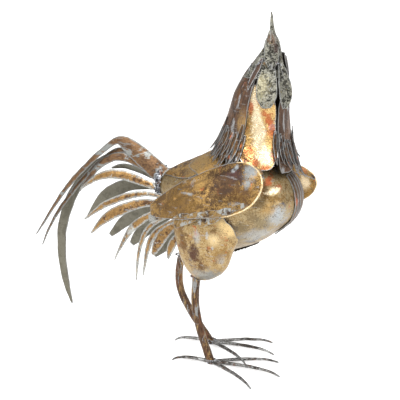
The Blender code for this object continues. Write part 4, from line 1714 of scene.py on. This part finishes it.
@dataclass
class Head:
    """Skull, beak, wattles and comb."""

    shop: Workshop
    ahead: float = math.radians(-50)
    across: Vector = field(default_factory=lambda: Vector((0.457, 0.889, 0)))
    widening: float = 0.2
    wattle_widening: float = 0.32
    wattle_shift: float = 2.4 * MM
    wattle_run: float = 34 * MM
    comb_shift: float = 3 * MM

    def out(self, points: np.ndarray) -> np.ndarray:
        """The way the head faces, at each place."""
        return np.tile(np.array((math.cos(self.ahead), math.sin(self.ahead), 0.0)), (len(points), 1))

    def build(self) -> None:
        """Finishes the head's pieces and adds its welds."""
        shop = self.shop
        stains_and_painted_light = (
            Stain((272, 40), 9 * MM, (0.24, 0.15, 0.10), 0.8, (1, 1, 0.6)),
            Stain((276, 48), 6 * MM, PLUM, 0.8, (1, 1, 0.5)),
            Stain((265, 63), 8 * MM, (0.40, 0.20, 0.06), 1.0, (1, 1, 1.6)),
            # Painted shadow: black in the gap between the wattles.
            Stain((275, 68), 6 * MM, INK, 1.0),
            Stain((276, 75), 5 * MM, INK, 1.0),
        )
        speckled = Patina(
            ground_dark=(0.016, 0.015, 0.011),
            ground_light=(0.10, 0.095, 0.075),
            leaf_light=(0.37, 0.36, 0.30),
            leaf_dark=(0.17, 0.165, 0.13),
            leaf_cover=0.55,
            copper=(0.22, 0.17, 0.075),
            copper_cover=0.06,
            silver=(0.40, 0.405, 0.39),
            silver_cover=0.15,
            edge=1.2,
            scratch=0.3,
            speck=1.0,
            pit=3.0 * MM,
            pit_line=0.485,
            # Ink back: painted shade on the hidden sides of the wattles, comb and lower beak.
            back=INK,
            grain=12 * MM,
            relief=1.4 * MM,
            rough=0.36,
            metallic=0.8,
        )
        silver = speckled.make("silver_head", shop.eye, stains_and_painted_light)
        wattle_stains_and_shade = (
            Stain((262, 85), 14 * MM, (0.62, 0.55, 0.33), 0.5, (1, 1, 0.5)),
            Stain((258, 98), 9 * MM, (0.35, 0.33, 0.2), 0.5),
            Stain((255, 101), 5 * MM, BRONZE, 0.8),
            Stain((282, 85), 16 * MM, (0.13, 0.10, 0.08), 0.6, (1, 1, 0.4)),
            # Painted shadow: black in the gap between the wattles.
            Stain((275, 67), 7 * MM, INK, 1.0),
            Stain((276, 74), 5 * MM, INK, 1.0),
        )
        grainy = speckled.make("silver_wattle", shop.eye, wattle_stains_and_shade)
        for node in ("skull", "upper_beak", "lower_beak", "comb", "wattle_right", "wattle_left"):
            outward = None if node in ("skull", "upper_beak") else self.out
            beating = Beating(levels=3, dent=0.55 * MM, dent_size=9 * MM, seed=float(len(node)))
            finish = grainy if node.startswith("wattle") else silver
            dress(node, "metal", finish, Slot.SILVER, beating, outward, work=self.shaped(node))
        brow = shop.line([(256, 66), (262, 61), (270, 60), (277, 63), (283, 66)], 0.6 * MM)
        cheek = shop.line([(252, 62), (249, 72), (248, 86)], 0.4 * MM)
        shop.gun.lay("head_welds", [brow, cheek], 1.1 * MM, 1.6 * MM, 31)
        self.mouth()

    def shaped(self, node: str) -> bmesh.types.BMesh:
        """A copy of one of the head's nodes, moved or widened sideways to the photograph's outline.

        Args:
            node: the CAD node's name.

        Returns:
            The copy.
        """
        work = cad_copy(node)
        if node == "comb":
            bmesh.ops.translate(work, verts=work.verts, vec=self.across * self.comb_shift)
        elif node == "wattle_left":
            edge = max(v.co.dot(self.across) for v in work.verts)
            top = max(v.co.z for v in work.verts)
            for vertex in work.verts:
                share = min((top - vertex.co.z) / self.wattle_run, 1)
                wider = (vertex.co.dot(self.across) - edge) * self.wattle_widening
                vertex.co += self.across * (wider - self.wattle_shift) * share
        elif node != "wattle_right":
            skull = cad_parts["skull"].data.vertices
            edge = max(v.co.dot(self.across) for v in skull)
            for vertex in work.verts:
                vertex.co += self.across * (vertex.co.dot(self.across) - edge) * self.widening
        return work

    def mouth(self) -> None:
        """The dark slit between the halves of the beak: a dark bar as painted shade in the gap."""
        shop = self.shop
        slit = shop.line([(276, 41), (278, 48), (279, 55)], 0.2 * MM)
        bar = tube(slit, lambda share: 0.9 * MM * math.sin(math.pi * (0.1 + 0.8 * share)))
        dark = Patina(
            leaf_cover=0.1,
            ground_light=UMBER,
            ground_dark=INK,
            silver_cover=0.02,
            speck=0,
            grain=10 * MM,
        )
        piece = beat("mouth_slit", bar, Beating(levels=1, hard=math.pi, dent=0.2 * MM))
        hand_over(piece, dark.make("dark_slit", shop.eye), Slot.SILVER)


@dataclass
class Legs:
    """Shanks, toes and the welds that join them."""

    shop: Workshop
    shank: float = 7 * MM
    toe_turns: tuple[float, ...] = (28, 0, -28, 197)

    def build(self) -> None:
        """Finishes legs and toes and adds the weld rings."""
        shop = self.shop
        rod = Patina(
            ground_light=(0.12, 0.062, 0.032),
            leaf_light=(0.34, 0.23, 0.10),
            leaf_dark=BRONZE,
            leaf_cover=0.4,
            silver=(0.27, 0.275, 0.27),
            silver_cover=0.22,
            copper=(0.15, 0.065, 0.032),
            copper_cover=0.2,
            stretch=(1.5, 1.5, 0.3),
            grain=20 * MM,
            edge=1.0,
            speck=0.8,
        )
        claw = Patina(
            ground_light=(0.09, 0.076, 0.066),
            ground_dark=(0.024, 0.021, 0.018),
            leaf_light=(0.28, 0.28, 0.275),
            leaf_dark=(0.12, 0.115, 0.105),
            leaf_cover=0.5,
            copper=(0.13, 0.065, 0.038),
            copper_cover=0.2,
            silver_cover=0.3,
            grain=16 * MM,
            edge=1.0,
            speck=0.9,
        )
        shank = rod.make("rusty_shank", shop.eye)
        toe = claw.make("silver_toe", shop.eye)
        bent = Beating(2, math.radians(60), 0.7 * MM, 16 * MM, swell=0.35 * MM)
        thick = Beating(2, math.radians(75), 0.5 * MM, 14 * MM, swell=0.45 * MM)
        for side in Side:
            word = side.word
            dress(f"leg_{word}", "shank", shank, Slot.RUSTY, bent)
            for place in ("inner", "middle", "outer", "back"):
                beating = replace(thick, seed=len(place))
                dress(f"toe_{place}_{word}", "rod", toe, Slot.SILVER, beating)
            self.welds(word)

    def welds(self, word: str) -> None:
        """Weld rings at the top and the foot of one leg.

        Args:
            word: the leg's side.
        """
        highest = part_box(f"leg_{word}")[1].z
        points = [v.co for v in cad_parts[f"leg_{word}"].data.vertices]
        foot = [p for p in points if p.z < 1 * MM]
        hub = sum(foot, Vector()) / len(foot)
        top = [p for p in points if p.z > highest - 4 * MM]
        knee = sum(top, Vector()) / len(top)
        reach = self.shank + 0.5 * MM
        axes = Vector((reach, 0, 0)), Vector((0, reach, 0))
        rings = [ring(hub + Vector((0, 0, z * MM)), *axes) for z in (2.5, 6.5)]
        raised = hub + Vector((0, 0, 6 * MM))
        for turn in self.toe_turns:
            way = Vector((math.cos(math.radians(turn)), math.sin(math.radians(turn)), 0))
            rings.append([raised + way * (self.shank + k * 2 * MM) for k in range(8)])
        rings.append(ring(knee, *axes))
        self.shop.gun.lay(f"leg_welds_{word}", rings, 1.5 * MM, 2.0 * MM, 40 + len(word))


@dataclass
class Tail:
    """The fan of feathers and the knot of weld at its root."""

    shop: Workshop
    loops: int = 7
    near_way: Triple = (0, -0.96, 0.28)

    def out(self, points: np.ndarray) -> np.ndarray:
        """The way that the gilt faces of the feathers look, at each place."""
        return np.tile(np.array(self.near_way), (len(points), 1))

    def build(self) -> None:
        """Finishes every feather and the knot."""
        near = Patina(
            leaf_light=(0.37, 0.22, 0.08),
            leaf_dark=(0.21, 0.115, 0.042),
            leaf_cover=0.6,
            ground_light=(0.17, 0.085, 0.034),
            ground_dark=(0.08, 0.04, 0.018),
            silver_cover=0.14,
            silver=(0.48, 0.49, 0.46),
            copper_cover=0.0,
            edge=4.0,
            back=OLIVE,
            grain=26 * MM,
            scratch=0.7,
            speck=0.5,
        )
        sickle = replace(
            near,
            leaf_light=(0.20, 0.115, 0.055),
            leaf_dark=(0.10, 0.056, 0.034),
            ground_light=(0.09, 0.06, 0.042),
            silver_cover=0.3,
            silver=(0.27, 0.285, 0.275),
            edge=2.8,
            stretch=(0.4, 1, 1),
            rough=0.42,
        )
        far = Patina(
            ground_dark=(0.105, 0.096, 0.070),
            ground_light=(0.125, 0.115, 0.085),
            leaf_dark=(0.125, 0.115, 0.085),
            leaf_light=(0.16, 0.15, 0.115),
            leaf_cover=0.6,
            silver_cover=0.03,
            copper_cover=0.0,
            edge=1.2,
            scratch=0.1,
            speck=0.1,
            back=OCHRE,
            grain=40 * MM,
            relief=0.4 * MM,
            rough=0.42,
            metallic=0.7,
        )
        eye = self.shop.eye
        gilt = near.make("gilt_feather", eye)
        worn = sickle.make("worn_sickle", eye)
        bare = far.make("bare_feather", eye)
        finishes = {
            "sickle_right": (worn, Slot.GILT, 3),
            "tail_right": (gilt, Slot.GILT, 3),
            "fluff_right": (gilt, Slot.GILT, 3),
            "sickle_left": (bare, Slot.BARE, 2),
            "tail_left": (bare, Slot.BARE, 2),
        }
        for node in sorted(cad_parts):
            stem = node.rsplit("_", 1)[0]
            if stem in finishes:
                material, slot, levels = finishes[stem]
                seed = float(len(node)) + int(node[-1])
                beating = Beating(levels, dent=0.9 * MM, dent_size=20 * MM, seed=seed)
                dress(node, "feather", material, slot, beating, self.out)
        self.knot()

    def knot(self) -> None:
        """The lump of weld, with beads wound round it."""
        shop = self.shop
        beating = Beating(levels=3, hard=math.pi, dent=2.2 * MM, dent_size=9 * MM)
        dress("tail_weld", "lump", shop.gun.material, Slot.WELD, beating)
        low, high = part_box("tail_weld")
        middle, half = (low + high) / 2, (high - low) / 2
        chance = random.Random(17)
        seams = []
        for k in range(self.loops):
            height = -0.8 + 1.6 * k / (self.loops - 1)
            reach = math.sqrt(1 - height**2)
            tilt = half.z * chance.uniform(-0.25, 0.25)
            long, short = Vector((half.x * reach, 0, tilt)), Vector((0, half.y * reach, tilt * 0.5))
            seams.append(ring(middle + Vector((0, 0, half.z * height)), long, short))
        shop.gun.lay("tail_weld_beads", seams, 2.0 * MM, 2.6 * MM, 23)


@dataclass
class Studio:
    """Floor, light and camera."""

    eye: Eye
    floor_reach: float = 40.0
    sky: float = 0.4
    sun_power: float = 1.9
    sun_spread: float = math.radians(14)
    sun_turn: float = 0.35
    softboxes: tuple[tuple[str, Triple, float, float], ...] = (
        ("softbox_left", (-1.6, -1.7, 1.7), 1.1, 18),
        ("softbox_right", (2.1, -0.9, 1.2), 0.7, 12),
        ("softbox_back", (0.4, 2.0, 1.6), 1.2, 12),
    )

    def light(self, name: str, place: Triple, size: float, power: float) -> None:
        """One soft square light, turned to the bird.

        Args:
            name: the light's name.
            place: where it stands.
            size: its side.
            power: its power in watts.
        """
        lamp = bpy.data.lights.new(name, "AREA")
        lamp.size = size
        lamp.energy = power
        made = stand(name, lamp)
        made.location = place
        made.rotation_euler = (Vector(self.eye.aim) - Vector(place)).to_track_quat("-Z", "Y").to_euler()

    def build(self) -> None:
        """Makes the studio."""
        self.eye.camera()
        work = bmesh.new()
        bmesh.ops.create_grid(work, x_segments=8, y_segments=8, size=self.floor_reach)
        floor = settle(work, "floor")
        floor.data.materials.append(StudioFloor().make())
        sun = stand("sun", bpy.data.lights.new("sun", "SUN"))
        sun.data.energy = self.sun_power
        sun.data.angle = self.sun_spread
        turn = self.eye.turn - self.sun_turn
        way = Vector((math.sin(turn), -math.cos(turn), 0.9))
        sun.rotation_euler = way.to_track_quat("Z", "Y").to_euler()
        for softbox in self.softboxes:
            self.light(*softbox)
        self.world()
        bpy.context.scene.view_settings.view_transform = "Standard"

    def world(self) -> None:
        """A white room, brighter above."""
        world = bpy.data.worlds.new("studio")
        bpy.context.scene.world = world
        world.use_nodes = True
        tree = world.node_tree
        way = tree.nodes.new("ShaderNodeTexCoord")
        parts = tree.nodes.new("ShaderNodeSeparateXYZ")
        tree.links.new(way.outputs["Generated"], parts.inputs[0])
        sockets = {"From Min": -0.1, "From Max": 0.9, "To Min": self.sky, "To Max": 1.0}
        sockets["Value"] = parts.outputs["Z"]
        level = add_node(tree, "ShaderNodeMapRange", {}, sockets)
        back = tree.nodes["Background"]
        back.inputs["Color"].default_value = (1, 1, 1, 1)
        tree.links.new(level.outputs[0], back.inputs["Strength"])


def main() -> None:
    """Builds the studio and every sub-assembly in order."""
    logging.basicConfig(level=logging.INFO, format="%(name)s %(message)s", force=True)
    shop = Workshop()
    Studio(shop.eye).build()
    for part in (Trunk(shop), Wings(shop), Neck(shop), Head(shop), Legs(shop), Tail(shop)):
        part.build()


if __name__ == "__main__":
    main()
